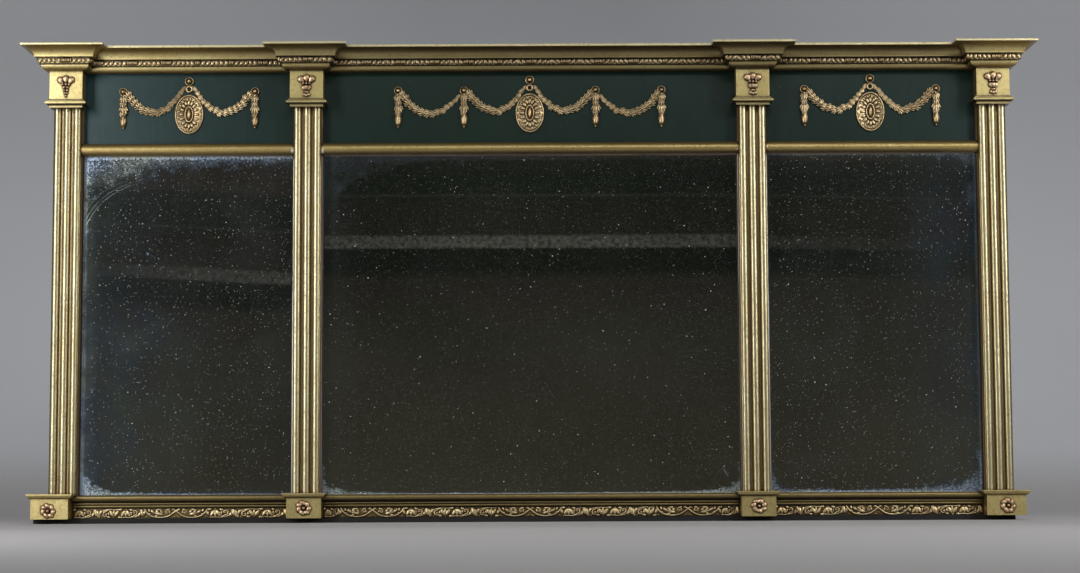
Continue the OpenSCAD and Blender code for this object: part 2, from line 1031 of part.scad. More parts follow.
// A flat-headed screw driven forward from plane y.
module screw(x, y, z) {
    translate([x, y + head_h, z]) rotate([90, 0, 0]) {
        cylinder(h = head_h, r = head_r);
        cylinder(h = head_h + screw_l, r = screw_r);
    }
}

// The hole for a screw that is driven forward from plane y.
module screw_hole(x, y, z) {
    translate([x, y + 1, z]) rotate([90, 0, 0])
        cylinder(h = 1 + screw_l + screw_gap, r = screw_r + screw_gap);
}

module screws() {
    color(IRON) {
        for (side = [-1, 1], down = strap_screws) {
            on_side(side) screw(hanger_x, back_y + strap_t, pivot_z - down);
        }
        for (bay = BAYS, x = [bay[0] - board_screw_x, bay[1] + board_screw_x], z = BOARD_SCREW_Z) {
            screw(x, back_y, z);
        }
    }
}

// A strap screwed to the stile, rolled at its top into a loop for the ring.
module hanger_strap() {
    difference() {
        union() {
            slab(hanger_x - strap_w / 2, hanger_x + strap_w / 2, back_y, back_y + strap_t,
                pivot_z - strap_l, pivot_z);
            intersection() {
                translate([hanger_x - strap_w / 2, pivot_y, pivot_z]) rotate([0, 90, 0])
                    cylinder(h = strap_w, r = loop_r);
                slab(hanger_x - strap_w, hanger_x + strap_w, back_y, back_y + 3 * loop_r,
                    pivot_z - 2 * loop_r, pivot_z + 2 * loop_r);
            }
        }
        translate([hanger_x - strap_w, pivot_y, pivot_z]) rotate([0, 90, 0])
            cylinder(h = 2 * strap_w, r = bore_r);
        for (down = strap_screws) {
            screw_hole(hanger_x, back_y + strap_t, pivot_z - down);
        }
    }
}

module hanger_straps() {
    color(BRASS) for (side = [-1, 1]) {
        on_side(side) hanger_strap();
    }
}

// A D-shaped ring of wire: a straight pivot, two bends, two legs and a half circle.
module hanger_ring() {
    wire_r = wire_d / 2;
    tip_r = leg_x;
    leg_end = ring_l - wire_r - tip_r;
    translate([hanger_x, pivot_y, pivot_z]) {
        translate([-leg_x + ring_bend, 0, 0]) rotate([0, 90, 0])
            cylinder(h = 2 * (leg_x - ring_bend), r = wire_r);
        for (flip = [0, 1]) {
            mirror([flip, 0, 0]) {
                translate([leg_x - ring_bend, 0, -ring_bend]) rotate([90, 0, 0])
                    rotate_extrude(angle = 90) translate([ring_bend, 0]) circle(wire_r);
                translate([leg_x, 0, -leg_end]) cylinder(h = leg_end - ring_bend, r = wire_r);
            }
        }
        translate([0, 0, -leg_end]) rotate([90, 180, 0])
            rotate_extrude(angle = 180) translate([tip_r, 0]) circle(wire_r);
    }
}

module left_hanger_ring() {
    color(BRASS) on_side(-1) hanger_ring();
}

module right_hanger_ring() {
    color(BRASS) on_side(1) hanger_ring();
}

// ---------------------------------------------------------------- assembly

top_rail();
bottom_rail();
frieze_rail();
left_stile();
right_stile();
left_muntin();
right_muntin();
left_outer_column();
left_inner_column();
right_inner_column();
right_outer_column();
neckings();
left_outer_die();
left_inner_die();
right_inner_die();
right_outer_die();
left_outer_cap();
left_inner_cap();
right_inner_cap();
right_outer_cap();
left_cornice();
centre_cornice();
right_cornice();
cap_laurel_bands();
left_laurel_band();
centre_laurel_band();
right_laurel_band();
left_outer_block();
left_inner_block();
right_inner_block();
right_outer_block();
left_base_moulding();
centre_base_moulding();
right_base_moulding();
left_scroll_band();
centre_scroll_band();
right_scroll_band();
left_frieze_panel();
centre_frieze_panel();
right_frieze_panel();
left_festoon();
centre_festoon();
right_festoon();
left_transom_bead();
centre_transom_bead();
right_transom_bead();
left_mirror_plate();
centre_mirror_plate();
right_mirror_plate();
left_backboard();
centre_backboard();
right_backboard();
rosettes();
urn_mounts();
glass_slips();
glazing_blocks();
hanger_straps();
left_hanger_ring();
right_hanger_ring();
screws();
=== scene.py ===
"""Dresses the gilt overmantel mirror: camera, studio, finishes and cast ornament."""

import functools
import math
import random

import bmesh
import bpy
from mathutils import Matrix, Vector


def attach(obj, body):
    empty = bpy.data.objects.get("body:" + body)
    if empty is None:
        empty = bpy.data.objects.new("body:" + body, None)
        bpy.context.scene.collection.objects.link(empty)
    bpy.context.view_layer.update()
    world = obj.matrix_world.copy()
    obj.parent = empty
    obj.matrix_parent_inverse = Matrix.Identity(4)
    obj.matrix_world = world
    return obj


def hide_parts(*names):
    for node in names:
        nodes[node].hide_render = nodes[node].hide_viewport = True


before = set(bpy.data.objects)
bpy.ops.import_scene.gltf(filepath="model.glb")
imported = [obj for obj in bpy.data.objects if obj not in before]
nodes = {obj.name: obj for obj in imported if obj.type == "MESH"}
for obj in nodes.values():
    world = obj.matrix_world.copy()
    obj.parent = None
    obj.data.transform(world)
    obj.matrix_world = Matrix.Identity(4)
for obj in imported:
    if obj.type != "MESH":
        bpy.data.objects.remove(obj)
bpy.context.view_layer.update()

MM = 0.001
CHANCE = random.Random(1815)

# Places from the part's source, in millimetres.
PANEL_Y = -6.0
DIE_Y = -35.0
BLOCK_Y = -45.0
COLUMN_X = (-643.0, -309.5, 309.5, 643.0)
BAY_X = (-476.25, 0.0, 476.25)
PLATES = ((-623.0, -329.5), (-289.5, 289.5), (329.5, 623.0))
PLATE_Z = (32.3, 502.0)
HALF_WIDTH = 700
TOP_Z = 650

SIDES = ("left", "centre", "right")
COLUMNS = ("left_outer", "left_inner", "right_inner", "right_outer")


# ---------------------------------------------------------------- camera

# As fitted to the photograph: its width and the lens in pixels, the place in metres, and yaw,
# pitch and roll in degrees.
PHOTO_WIDTH = 1080
FOCAL_LENGTH = 2164
CAMERA_PLACE = (0.0072, -3.0, 0.0499)
CAMERA_TURN = (0.114, 5.117, -0.265)


def place_camera():
    """A camera close to the floor, tipped up, three metres from the mirror."""
    yaw, pitch, roll = (math.radians(a) for a in CAMERA_TURN)
    ahead = Vector((math.sin(yaw) * math.cos(pitch), math.cos(yaw) * math.cos(pitch),
                    math.sin(pitch)))
    level = Vector((math.cos(yaw), -math.sin(yaw), 0))
    upright = level.cross(ahead)
    right = math.cos(roll) * level + math.sin(roll) * upright
    up = math.cos(roll) * upright - math.sin(roll) * level
    data = bpy.data.cameras.new("camera")
    data.sensor_fit = "HORIZONTAL"
    data.sensor_width = 36
    data.lens = data.sensor_width * FOCAL_LENGTH / PHOTO_WIDTH
    camera = bpy.data.objects.new("camera", data)
    bpy.context.collection.objects.link(camera)
    turn = Matrix((right, up, -ahead)).transposed().to_4x4()
    camera.matrix_world = Matrix.Translation(CAMERA_PLACE) @ turn
    bpy.context.scene.camera = camera


place_camera()
bpy.context.scene.view_settings.view_transform = "Standard"


# ---------------------------------------------------------------- hand tools

def clear_selection():
    """Leaves object mode with nothing selected."""
    if bpy.context.mode != "OBJECT":
        bpy.ops.object.mode_set(mode="OBJECT")
    bpy.ops.object.select_all(action="DESELECT")


def pick(*pieces):
    """Selects these pieces alone, the first of them active."""
    clear_selection()
    for piece in pieces:
        piece.select_set(True)
    bpy.context.view_layer.objects.active = pieces[0]


def start(primitive, **settings):
    """A new primitive, alone in the selection."""
    clear_selection()
    getattr(bpy.ops.mesh, "primitive_" + primitive + "_add")(**settings)
    return bpy.context.object


def grip(piece, kind, wanted):
    """Edit mode on the piece, with the verts or edges that `wanted` says yes to selected."""
    pick(piece)
    bpy.ops.object.mode_set(mode="EDIT")
    bpy.ops.mesh.select_mode(type=kind[:-1].upper())
    bpy.ops.mesh.select_all(action="DESELECT")
    shell = bmesh.from_edit_mesh(piece.data)
    for element in getattr(shell, kind):
        if wanted(element):
            element.select_set(True)
    shell.select_flush_mode()
    bmesh.update_edit_mesh(piece.data)


def fix(piece):
    """Puts the piece's place, turn and size into its mesh."""
    pick(piece)
    bpy.ops.object.transform_apply(location=True, rotation=True, scale=True)
    return piece


def twin(pattern, x, y, z, turn=0, size=(1, 1, 1), lean=0, row=Matrix()):
    """A copy of the pattern with its own mesh, stretched by `size`, its tip leant `lean` degrees
    towards the viewer, turned `turn` degrees clockwise as seen, and put at x, y, z of the row."""
    copy = pattern.copy()
    copy.data = pattern.data.copy()
    bpy.context.collection.objects.link(copy)
    copy.matrix_world = (
        row @ Matrix.Translation((x, y, z)) @ Matrix.Rotation(math.radians(turn), 4, "Y")
        @ Matrix.Rotation(math.radians(lean), 4, "X") @ Matrix.Diagonal((*size, 1)))
    return copy


# ---------------------------------------------------------------- finishes

def linear(hex_colour):
    """Linear RGBA of an sRGB hex colour."""
    parts = [int(hex_colour[i:i + 2], 16) / 255 for i in (1, 3, 5)]
    return (*[p / 12.92 if p <= 0.04045 else ((p + 0.055) / 1.055) ** 2.4 for p in parts], 1)


def add(tree, kind, links=(), stops=(), **settings):
    """Adds one node; a mix is of colours. Links go to its inputs by name, or in order to those
    in use: a node gives its first output in use, a socket gives itself, and a hex colour or a
    number is set. So a map range takes value, from min, from max, to min and to max. Stops are
    a colour ramp's places, each with a hex colour or a grey."""
    node = tree.nodes.new("ShaderNode" + kind)
    if kind == "Mix":
        node.data_type = "RGBA"
    for name, value in settings.items():
        setattr(node, name, value)
    if isinstance(links, dict):
        ends = [(node.inputs[name], value) for name, value in links.items()]
    else:
        ends = zip([end for end in node.inputs if end.enabled], links)
    for end, value in ends:
        if isinstance(value, bpy.types.Node):
            value = next(output for output in value.outputs if output.enabled)
        if isinstance(value, bpy.types.NodeSocket):
            tree.links.new(value, end)
        else:
            end.default_value = linear(value) if isinstance(value, str) else value
    if stops:
        ramp = node.color_ramp.elements
        while len(ramp) < len(stops):
            ramp.new(0.5)
        for element, (spot, tone) in zip(ramp, stops):
            element.position = spot
            element.color = linear(tone) if isinstance(tone, str) else (tone, tone, tone, 1)
    return node


def new_finish(name):
    """A material, the call that puts nodes in it, and the object coordinates in metres."""
    material = bpy.data.materials.new(name)
    material.use_nodes = True
    material.node_tree.nodes.clear()
    put = functools.partial(add, material.node_tree)
    return material, put, put("TexCoord").outputs["Object"]


def gilt_finish(name, worn_lit_leaf, leaf, toner, recess, reach, bole="#7A3B22", rub=0.68, least_shade=0,
                satin=0.36, mottle=0.6, chips=()):
    """Oil gilding: gold leaf laid over red bole on gesso, toned with size, then varnished.
    The eye gets a satin metal under a pale glaze: cream on what faces forward, where wiping has
    thinned the leaf and as a painted highlight, olive-gold on the flanks, brown from dirt and
    painted shade in the corners, painted shade under the mouldings and in the cornice's hollow,
    and rubbed through to red in small places. Chips down to the gesso are listed as x and z,
    with half their width, in mm."""
    material, put, where = new_finish(name)
    x_axis, _, z_axis = put("SeparateXYZ", (where,)).outputs
    normal = put("NewGeometry").outputs["Normal"]
    _, forward, upward = put("SeparateXYZ", (normal,)).outputs
    # What faces forward is paler, in clouds about 45 mm across: wiping has thinned the leaf, and
    # the cream is also a painted highlight.
    cloud = put("TexNoise", {"Vector": where, "Scale": 22, "Detail": 3})
    cloud_f = put("MapRange", (cloud, 0.35, 0.65, 0.65))
    front = put("MapRange", (forward, -0.55, -0.97), interpolation_type="SMOOTHSTEP")
    worn_and_lit = put("Math", (front, cloud_f), operation="MULTIPLY")
    base = put("Mix", (worn_and_lit, leaf, worn_lit_leaf))
    # The top fillet of the cornice is paler: the most wiped, and a painted highlight. On top it was
    # never gilded, and is dusty.
    shelf = put("MapRange", (upward, 0.7, 0.95))
    bare = put("MapRange", (z_axis, (TOP_Z - 1) * MM, (TOP_Z + 1) * MM, 0, shelf))
    fillet_wear_and_highlight = put("MapRange", (z_axis, (TOP_Z - 1.5) * MM, (TOP_Z - 0.5) * MM, 0, 0.8))
    base = put("Mix", (fillet_wear_and_highlight, base, "#DDD2A4"))
    # Toner flecks, 2 to 4 mm.
    fleck = put("TexNoise", {"Vector": where, "Scale": 260, "Detail": 5, "Roughness": 0.65})
    fleck_f = put("MapRange", (fleck, 0.52, 0.74, 0, mottle))
    toned = put("Mix", (fleck_f, base, toner))
    # Rubs to the bole, 5 to 15 mm, scarce.
    rubs = put("TexNoise", {"Vector": where, "Scale": 120, "Detail": 6, "Roughness": 0.7})
    rub_f = put("MapRange", (rubs, rub, rub + 0.06, 0, 0.8))
    rubbed = put("Mix", (rub_f, toned, bole))
    # Painted shade darkens what faces down, most of all in the middle of the mirror.
    along = put("MapRange", (x_axis, -HALF_WIDTH * MM, HALF_WIDTH * MM))
    thick = put("ValToRGB", (along,), stops=((0.03, 0.1), (0.15, 0.3), (0.28, 0.7), (0.5, 0.85),
        (0.9, 0.8), (0.96, 0.15)))
    thick = put("Math", (thick, least_shade), operation="MAXIMUM")
    underside_shade = put("MapRange", (upward, -0.1, -0.8, 0, thick), interpolation_type="SMOOTHSTEP")
    # Painted shade fills the hollow of the cornice too.
    high = put("MapRange", (z_axis, 0.61, 0.66))
    hollow_shade = put("ValToRGB", (high,), stops=((0.1, 0), (0.2, 0.4), (0.7, 0.72), (0.78, 0.15),
        (0.8, 0)))
    hollow_shade_f = put("Math", (hollow_shade, thick), operation="MULTIPLY")
    painted_shade = put("Math", (underside_shade, hollow_shade_f), operation="MAXIMUM")
    shaded = put("Mix", (painted_shade, rubbed, recess))
    dusty = put("Mix", (bare, shaded, "#6E634C"))
    # Dirt that has settled in corners, with painted shade there too, darker where ambient occlusion
    # is.
    corner = put("AmbientOcclusion", {"Distance": reach}, samples=6)
    corner_dirt_and_shade = put("MapRange", (corner.outputs["AO"], 0.45, 0.93, 0.97, 0),
        interpolation_type="SMOOTHSTEP")
    skin_colour = put("Mix", (corner_dirt_and_shade, dusty, recess))
    metal = put("MapRange", (rub_f, 0, 0.8, 0.88, 0.2))
    metal = put("Math", (metal, bare), operation="SUBTRACT", use_clamp=True)
    # Gesso bared at the chips, about twice as high as wide, with a ragged edge.
    squat = put("Mapping", {"Vector": where, "Scale": (1, 0, 0.45)})
    for x, z, half in chips:
        away = put("VectorMath", (squat, (x * MM, 0, 0.45 * z * MM)), operation="DISTANCE")
        ragged = put("Math", (fleck, 0.006, away), operation="MULTIPLY_ADD")
        chip = put("MapRange", (ragged, half * MM + 0.0026, half * MM + 0.0034, 0.9, 0))
        skin_colour = put("Mix", (chip, skin_colour, "#E2DCCB"))
        metal = put("Math", (metal, chip), operation="SUBTRACT", use_clamp=True)
    rough = put("MapRange", (fleck, 0.3, 0.75, satin, satin + 0.14))
    # The gesso under the leaf is a little uneven, 10 mm across, with a fine tooth on top.
    gesso = put("TexNoise", {"Vector": where, "Scale": 95, "Detail": 2})
    swell = put("Bump", {"Height": gesso, "Strength": 0.4, "Distance": 0.0008})
    tooth = put("Bump", {"Height": fleck, "Strength": 0.4, "Distance": 0.0003, "Normal": swell})
    skin = put("BsdfPrincipled", {"Base Color": skin_colour, "Metallic": metal, "Roughness": rough,
        "Coat Weight": 0.6, "Coat Roughness": 0.35, "Normal": tooth})
    put("OutputMaterial", (skin,))
    return material


# Colours of worn and lit leaf and of whole leaf, toner, and recesses with their painted shade;
# the reach of the corner dirt and painted shade in metres; the bole's colour and how scarce its
# rubs are.
reed_gilding = gilt_finish("oil_gilding_on_reeds", "#CCC49C", "#9A8450", "#6A5228", "#6E5428",
    0.004, rub=0.66, satin=0.3)
gilding = gilt_finish("oil_gilding_on_gesso", "#D0BF82", "#A68A48", "#6B5628", "#2A1B0B", 0.006)
# Darker leaf on the transom beads, with painted shade under them.
bead_gilding = gilt_finish("darker_gilding_on_beads", "#B8A266", "#9C8448", "#5E4A22", "#2A1B0B",
    0.006, least_shade=0.3, chips=((-330.6, 508.5, 1.6), (-288, 507.5, 1.6), (288.6, 508.5, 0.6),
    (330.8, 511, 0.6)))
# The neckings are darker, and painted shade covers all that faces down.
dark_gilding = gilt_finish("gilding_on_neckings_painted_shade", "#C4B47C", "#8E763E", "#5A4620", "#22160A",
    0.009, least_shade=0.9)
# Darker leaf on the base mouldings: painted shade.
base_gilding = gilt_finish("darker_gilding_on_base_painted_shade", "#8E7C4A", "#705E32", "#4A3A1C", "#20150A",
    0.006, "#6A3420")
compo = gilt_finish("gilt_composition", "#E0C694", "#A8844E", "#4E341C", "#140C06", 0.003,
    "#8A4A2C", 0.62, satin=0.33, mottle=1)
scroll_compo = gilt_finish("rubbed_composition_on_base", "#EED6A2", "#AE864E", "#5A3E20", "#2A180A",
    0.0022, "#8A4A2C", 0.66, satin=0.33, mottle=0.8)
rosy_compo = gilt_finish("rubbed_gilt_composition", "#E2C296", "#A0764A", "#5A3A20", "#160A05",
    0.004, "#8A4A2C", 0.6, mottle=0.9)


def paint_finish():
    """Blue-green oil paint on the frieze, varnished: dark and satin, with faint brush marks.
    A bluish painted sheen lies on its left end, and a little on its right."""
    material, put, where = new_finish("satin_oil_paint")
    tone = put("TexNoise", {"Vector": where, "Scale": 14, "Detail": 4})
    colour = put("Mix", (tone, "#0E1F18", "#152A22"))
    # The painted sheen, called film here, strongest from 0.6 to 0.45 m left of the middle.
    x_axis = put("SeparateXYZ", (where,)).outputs["X"]
    film = put("MapRange", (x_axis, -0.62, 0.62))
    film = put("ValToRGB", (film,), stops=((0, 0.7), (0.12, 0.28), (0.25, 0.06), (0.4, 0),
        (0.8, 0.03), (1, 0.16)))
    sheen_wisps = put("TexNoise", {"Vector": where, "Scale": 45, "Detail": 6, "Roughness": 0.65})
    sheen_wisps_f = put("MapRange", (sheen_wisps, 0.3, 0.7, 0.75, 1.2))
    sheen_f = put("Math", (film, sheen_wisps_f), operation="MULTIPLY")
    # The bluish colour mixed in here is the painted sheen.
    filmed = put("Mix", (sheen_f, colour, "#2A464A"))
    # Brush marks stand upright: 1.5 mm apart and 40 mm long.
    stretch = put("Mapping", {"Vector": where, "Scale": (1, 1, 0.05)})
    bristle = put("TexNoise", {"Vector": stretch, "Scale": 320, "Detail": 4})
    rough = put("MapRange", (bristle, 0.3, 0.7, 0.3, 0.36))
    # Dust specks up to 1 mm across, where a ball of the pattern cuts the surface.
    dust = put("TexVoronoi", {"Vector": where, "Scale": 70})
    dust_f = put("MapRange", (dust, 0.03, 0.05, 0.4, 0))
    dusty = put("Mix", (dust_f, filmed, "#8A938C"))
    bump = put("Bump", {"Height": bristle, "Strength": 0.2, "Distance": 0.0001})
    skin = put("BsdfPrincipled", {"Base Color": dusty, "Roughness": rough, "IOR": 1.4,
        "Normal": bump})
    put("OutputMaterial", (skin,))
    return material


def plate_finish(name, x0, x1, mist, dusting, bloom, corners, smudges):
    """Old glass silvered with tin and mercury: a dark mirror whose silvering is failing.
    The eye gets a faint blue mist over it, a blue-white bloom that creeps in from the edges,
    arcs of it round the corners, pin specks all over, and scratches. Sizes are in mm: bloom
    lists the edge that a bloom starts from, its width and its strength; corners lists the two
    edges, the offset, size and strength of a patch; smudges lists x, z, half width, half
    height, lean in degrees and strength. Dusting is how much the fine specks show."""
    material, put, where = new_finish(name)
    x_axis, _, z_axis = put("SeparateXYZ", (where,)).outputs
    inward = {}
    for edge, axis, sign, at in (
            ("left", x_axis, 1, x0), ("right", x_axis, -1, x1),
            ("top", z_axis, -1, PLATE_Z[1]), ("bottom", z_axis, 1, PLATE_Z[0])):
        inward[edge] = put("MapRange", (axis, at * MM, (at + sign * 1000) * MM, 0, 1000))
    # The mist lies in banks 60 to 100 mm across.
    bank = put("TexNoise", {"Vector": where, "Scale": 11, "Detail": 5, "Roughness": 0.6})
    even = [put("MapRange", (bank, 0.36, 0.66, 0.15 * mist, mist))]
    crumbled = []
    for edge, width, strength in bloom:
        kept = even if edge in ("left", "right") else crumbled
        kept.append(put("MapRange", (inward[edge], 0, width, strength, 0),
            interpolation_type="SMOOTHERSTEP"))
    ragged = put("TexNoise", {"Vector": where, "Scale": 75, "Detail": 6, "Roughness": 0.7})
    ragged_f = put("MapRange", (ragged, 0.36, 0.64, 0.5, 1.7))
    for side, end, offset, size, strength in corners:
        reach = put("Math", (inward[side], offset), operation="ADD")
        area = put("Math", (reach, inward[end]), operation="MULTIPLY")
        torn = put("Math", (area, ragged_f), operation="MULTIPLY")
        crumbled.append(put("MapRange", (torn, 0.05 * size, 1.2 * size, strength, 0),
            interpolation_type="SMOOTHERSTEP"))
        if size < 1000:
            continue
        # Three arcs lie round a large patch, within 110 mm of the corner.
        fade = put("MapRange", (inward[side], 40, 110, 1, 0))
        for at, thick, bright in ((0.84, 0.02, 0.7), (0.97, 0.022, 1.3), (1.07, 0.02, 1.7)):
            off = put("Math", (area, at * size), operation="SUBTRACT")
            off = put("Math", (off,), operation="ABSOLUTE")
            rim = put("MapRange", (off, 0, thick * size, bright * strength, 0))
            even.append(put("Math", (rim, fade), operation="MULTIPLY"))
    for at_x, at_z, wide, high, lean, strength in smudges:
        placed = put("Mapping", {"Vector": where, "Location": (at_x * MM, 0, at_z * MM),
            "Rotation": (0, math.radians(lean), 0), "Scale": (wide * MM, 1000, high * MM)},
            vector_type="TEXTURE")
        away = put("VectorMath", (placed,), operation="LENGTH")
        even.append(put("MapRange", (away, 0.1, 1, strength, 0), interpolation_type="SMOOTHSTEP"))
    # Scratches: hair lines 30 mm long, scattered and faint.
    hair = put("Mapping", {"Vector": where, "Rotation": (0, math.radians(28), 0),
        "Scale": (1, 1, 0.035)})
    lines = put("TexVoronoi", {"Vector": hair, "Scale": 120})
    even.append(put("MapRange", (lines, 0.012, 0.03, 0.07, 0)))
    sums = []
    for parts in (even, crumbled):
        total = parts[0]
        for part in parts[1:]:
            total = put("Math", (total, part), operation="ADD")
        sums.append(total)
    # The bloom is cloudy over 40 mm. Along the top and in the corners it breaks up in crumbs.
    cloud = put("TexNoise", {"Vector": where, "Scale": 26, "Detail": 8, "Roughness": 0.7})
    crumb = put("TexNoise", {"Vector": where, "Scale": 330, "Detail": 4, "Roughness": 0.85})
    clouded = put("MapRange", (cloud, 0.32, 0.66, 0.5, 1.35))
    crumbs = put("MapRange", (crumb, 0.4, 0.62, 0.1, 2))
    haze = put("Math", (sums[1], crumbs, sums[0]), operation="MULTIPLY_ADD")
    haze = put("Math", (haze, clouded), operation="MULTIPLY")
    haze = put("Math", (haze, 0.72), operation="MULTIPLY")
    # Dust of specks all over, and pin specks of 1 to 1.5 mm, where a ball of the pattern is cut.
    dust = put("TexNoise", {"Vector": where, "Scale": 640, "Detail": 1})
    specks = put("MapRange", (dust, 0.6, 0.78, 0, 0.16))
    for scale, wide, strength in ((50, 0.038, 1), (90, 0.05, 0.9 * dusting),
                                  (150, 0.074 * dusting, 0.8 * dusting),
                                  (250, 0.1 * dusting, 0.52 * dusting)):
        balls = put("TexVoronoi", {"Vector": where, "Scale": scale})
        dot = put("MapRange", (balls, 0.8 * wide, wide, strength, 0))
        specks = put("Math", (specks, dot), operation="MAXIMUM")
    # A mirror with a film over it: the film takes its share of what the silver gives back.
    tint = put("MapRange", (bank, 0.42, 0.58))
    film = put("Mix", (tint, "#B0C2DA", "#BECCC8"))
    filmed = put("MapRange", (haze, 0.004, 0.04))
    colour = put("Mix", (filmed, "#E4E4DE", film))
    colour = put("Mix", (specks, colour, "#DADDDC"))
    haze = put("Math", (haze, specks), operation="MAXIMUM", use_clamp=True)
    metal = put("MapRange", (haze, 0, 1, 1, 0))
    rough = put("MapRange", (haze, 0.06, 0.7, 0.012, 0.6))
    skin = put("BsdfPrincipled", {"Base Color": colour, "Metallic": metal, "Roughness": rough})
    put("OutputMaterial", (skin,))
    return material


left_plate = plate_finish(
    "foxed_glass_left", *PLATES[0], 0.03, 0.92,
    (("left", 10, 0.42), ("left", 36, 0.06), ("left", 200, 0.025),
     ("top", 6, 0.5), ("top", 20, 0.05), ("bottom", 8, 0.06)),
    (("left", "top", 40, 4000, 0.2), ("left", "bottom", 6, 420, 0.34)),
    ((-532, 366, 3.2, 3.2, 0, 0.3), (-523, 480, 7, 4, 30, 0.05), (-404, 330, 2.2, 2.2, 0, 0.2),
     (-386, 292, 0.9, 34, 12, 0.08), (-378, 302, 0.7, 30, 8, 0.05),
     (-545, 245, 120, 75, 0, 0.028), (-590, 120, 70, 120, 0, 0.02)))
centre_plate = plate_finish(
    "foxed_glass_centre", *PLATES[1], 0.004, 0.68,
    (("left", 7, 0.02), ("left", 70, 0.012), ("bottom", 6, 0.03), ("right", 6, 0.015),
     ("top", 6, 0.02)),
    (("right", "bottom", 4, 260, 0.45), ("left", "top", 20, 2000, 0.06),
     ("left", "bottom", 3, 240, 0.35)),
    ((-255, 40, 14, 8, 0, 0.05), (-120, 400, 2, 2, 0, 0.2), (-262, 462, 9, 34, 35, 0.05),
     (268, 60, 2.4, 12, -30, 0.2), (-275, 420, 16, 60, 0, 0.02), (120, 225, 60, 90, 40, 0.005)))
right_plate = plate_finish(
    "foxed_glass_right", *PLATES[2], 0.018, 0.92,
    (("right", 7, 0.18), ("right", 24, 0.045), ("right", 160, 0.025), ("top", 5, 0.2),
     ("top", 16, 0.015), ("left", 6, 0.035), ("bottom", 6, 0.03)),
    (("right", "top", 8, 500, 0.1), ("right", "bottom", 10, 760, 0.26),
     ("left", "bottom", 4, 300, 0.26)),
    ((470, 300, 2, 2, 0, 0.2), (614, 442, 8, 26, 0, 0.1), (560, 380, 60, 90, 0, 0.022)))


def slip_finish():
    """Planed slips, pale in the lower half beside the side plates and in the upper half at the
    right
    of the middle plate: partly remains of white gold leaf, partly a painted highlight. Elsewhere,
    and beside the outer columns, the wood is dull brown."""
    material, put, where = new_finish("slip_leaf_and_painted_highlight")
    x_axis, _, z_axis = put("SeparateXYZ", (where,)).outputs
    along = put("MapRange", (x_axis, -HALF_WIDTH * MM, HALF_WIDTH * MM))
    left = []
    for stops in (((0.19, 0), (0.2, 1), (0.27, 1), (0.285, 0.6), (0.45, 0.6), (0.55, 0.4),
                   (0.71, 0.4), (0.73, 1), (0.8, 1), (0.83, 0)),
                  ((0.27, 0), (0.285, 0.5), (0.45, 0.5), (0.55, 1), (0.71, 1), (0.73, 0.3),
                   (0.8, 0.3), (0.83, 0))):
        left.append(put("ValToRGB", (along,), stops=stops))
    upper = put("MapRange", (z_axis, 0.285, 0.335))
    # Where the slips are pale: leaf, with a painted highlight.
    leaf_and_highlight_f = put("Mix", (upper, left[0], left[1]))
    patch = put("TexNoise", {"Vector": where, "Scale": 25, "Detail": 5})
    patch_f = put("MapRange", (patch, 0.35, 0.65, 1, 0.8))
    leaf_and_highlight_f = put("Math", (leaf_and_highlight_f, patch_f), operation="MULTIPLY")
    # The edge toward the plate is dark.
    far = put("Math", (x_axis,), operation="ABSOLUTE")
    aside = put("Math", (far, COLUMN_X[2] * MM), operation="SUBTRACT")
    aside = put("Math", (aside,), operation="ABSOLUTE")
    near = put("MapRange", (aside, 0.0203, 0.021, 1, 0))
    leaf_and_highlight_f = put("Math", (leaf_and_highlight_f, near), operation="MULTIPLY")
    colour = put("Mix", (leaf_and_highlight_f, "#221F1A", "#F0EEF4"))
    tooth = put("Bump", {"Height": patch, "Strength": 0.4, "Distance": 0.0003})
    skin = put("BsdfPrincipled", {"Base Color": colour, "Metallic": 0.3, "Roughness": 0.45,
        "Normal": tooth})
    put("OutputMaterial", (skin,))
    return material


def pine_finish(name, squeeze):
    """Sawn and planed pine, darkened by age: yellow-brown with darker year rings 3 to 6 mm
    apart, drawn out along the grain by squeeze, and an ochre wash on the mirror's sides."""
    material, put, where = new_finish(name)
    drawn = put("Mapping", {"Vector": where, "Scale": squeeze})
    rings = put("TexNoise", {"Vector": drawn, "Scale": 110, "Detail": 5, "Roughness": 0.6,
        "Distortion": 0.6})
    wood = put("ValToRGB", (rings,), stops=((0.32, "#A07A48"), (0.48, "#8E683A"), (0.56, "#6C4A26"),
        (0.66, "#A48050")))
    soot = put("TexNoise", {"Vector": where, "Scale": 9, "Detail": 5})
    soot_f = put("MapRange", (soot, 0.4, 0.7, 0, 0.55))
    aged = put("Mix", (soot_f, wood, "#4C3620"))
    x_axis = put("SeparateXYZ", (where,)).outputs["X"]
    far = put("Math", (x_axis,), operation="ABSOLUTE")
    side = put("MapRange", (far, 0.6620, 0.6628, 0, 0.75))
    washed = put("Mix", (side, aged, "#A88A4A"))
    rough = put("MapRange", (rings, 0.3, 0.7, 0.55, 0.75))
    grain = put("Bump", {"Height": rings, "Strength": 0.5, "Distance": 0.0005})
    skin = put("BsdfPrincipled", {"Base Color": washed, "Roughness": rough, "IOR": 1.5,
        "Normal": grain})
    put("OutputMaterial", (skin,))
    return material


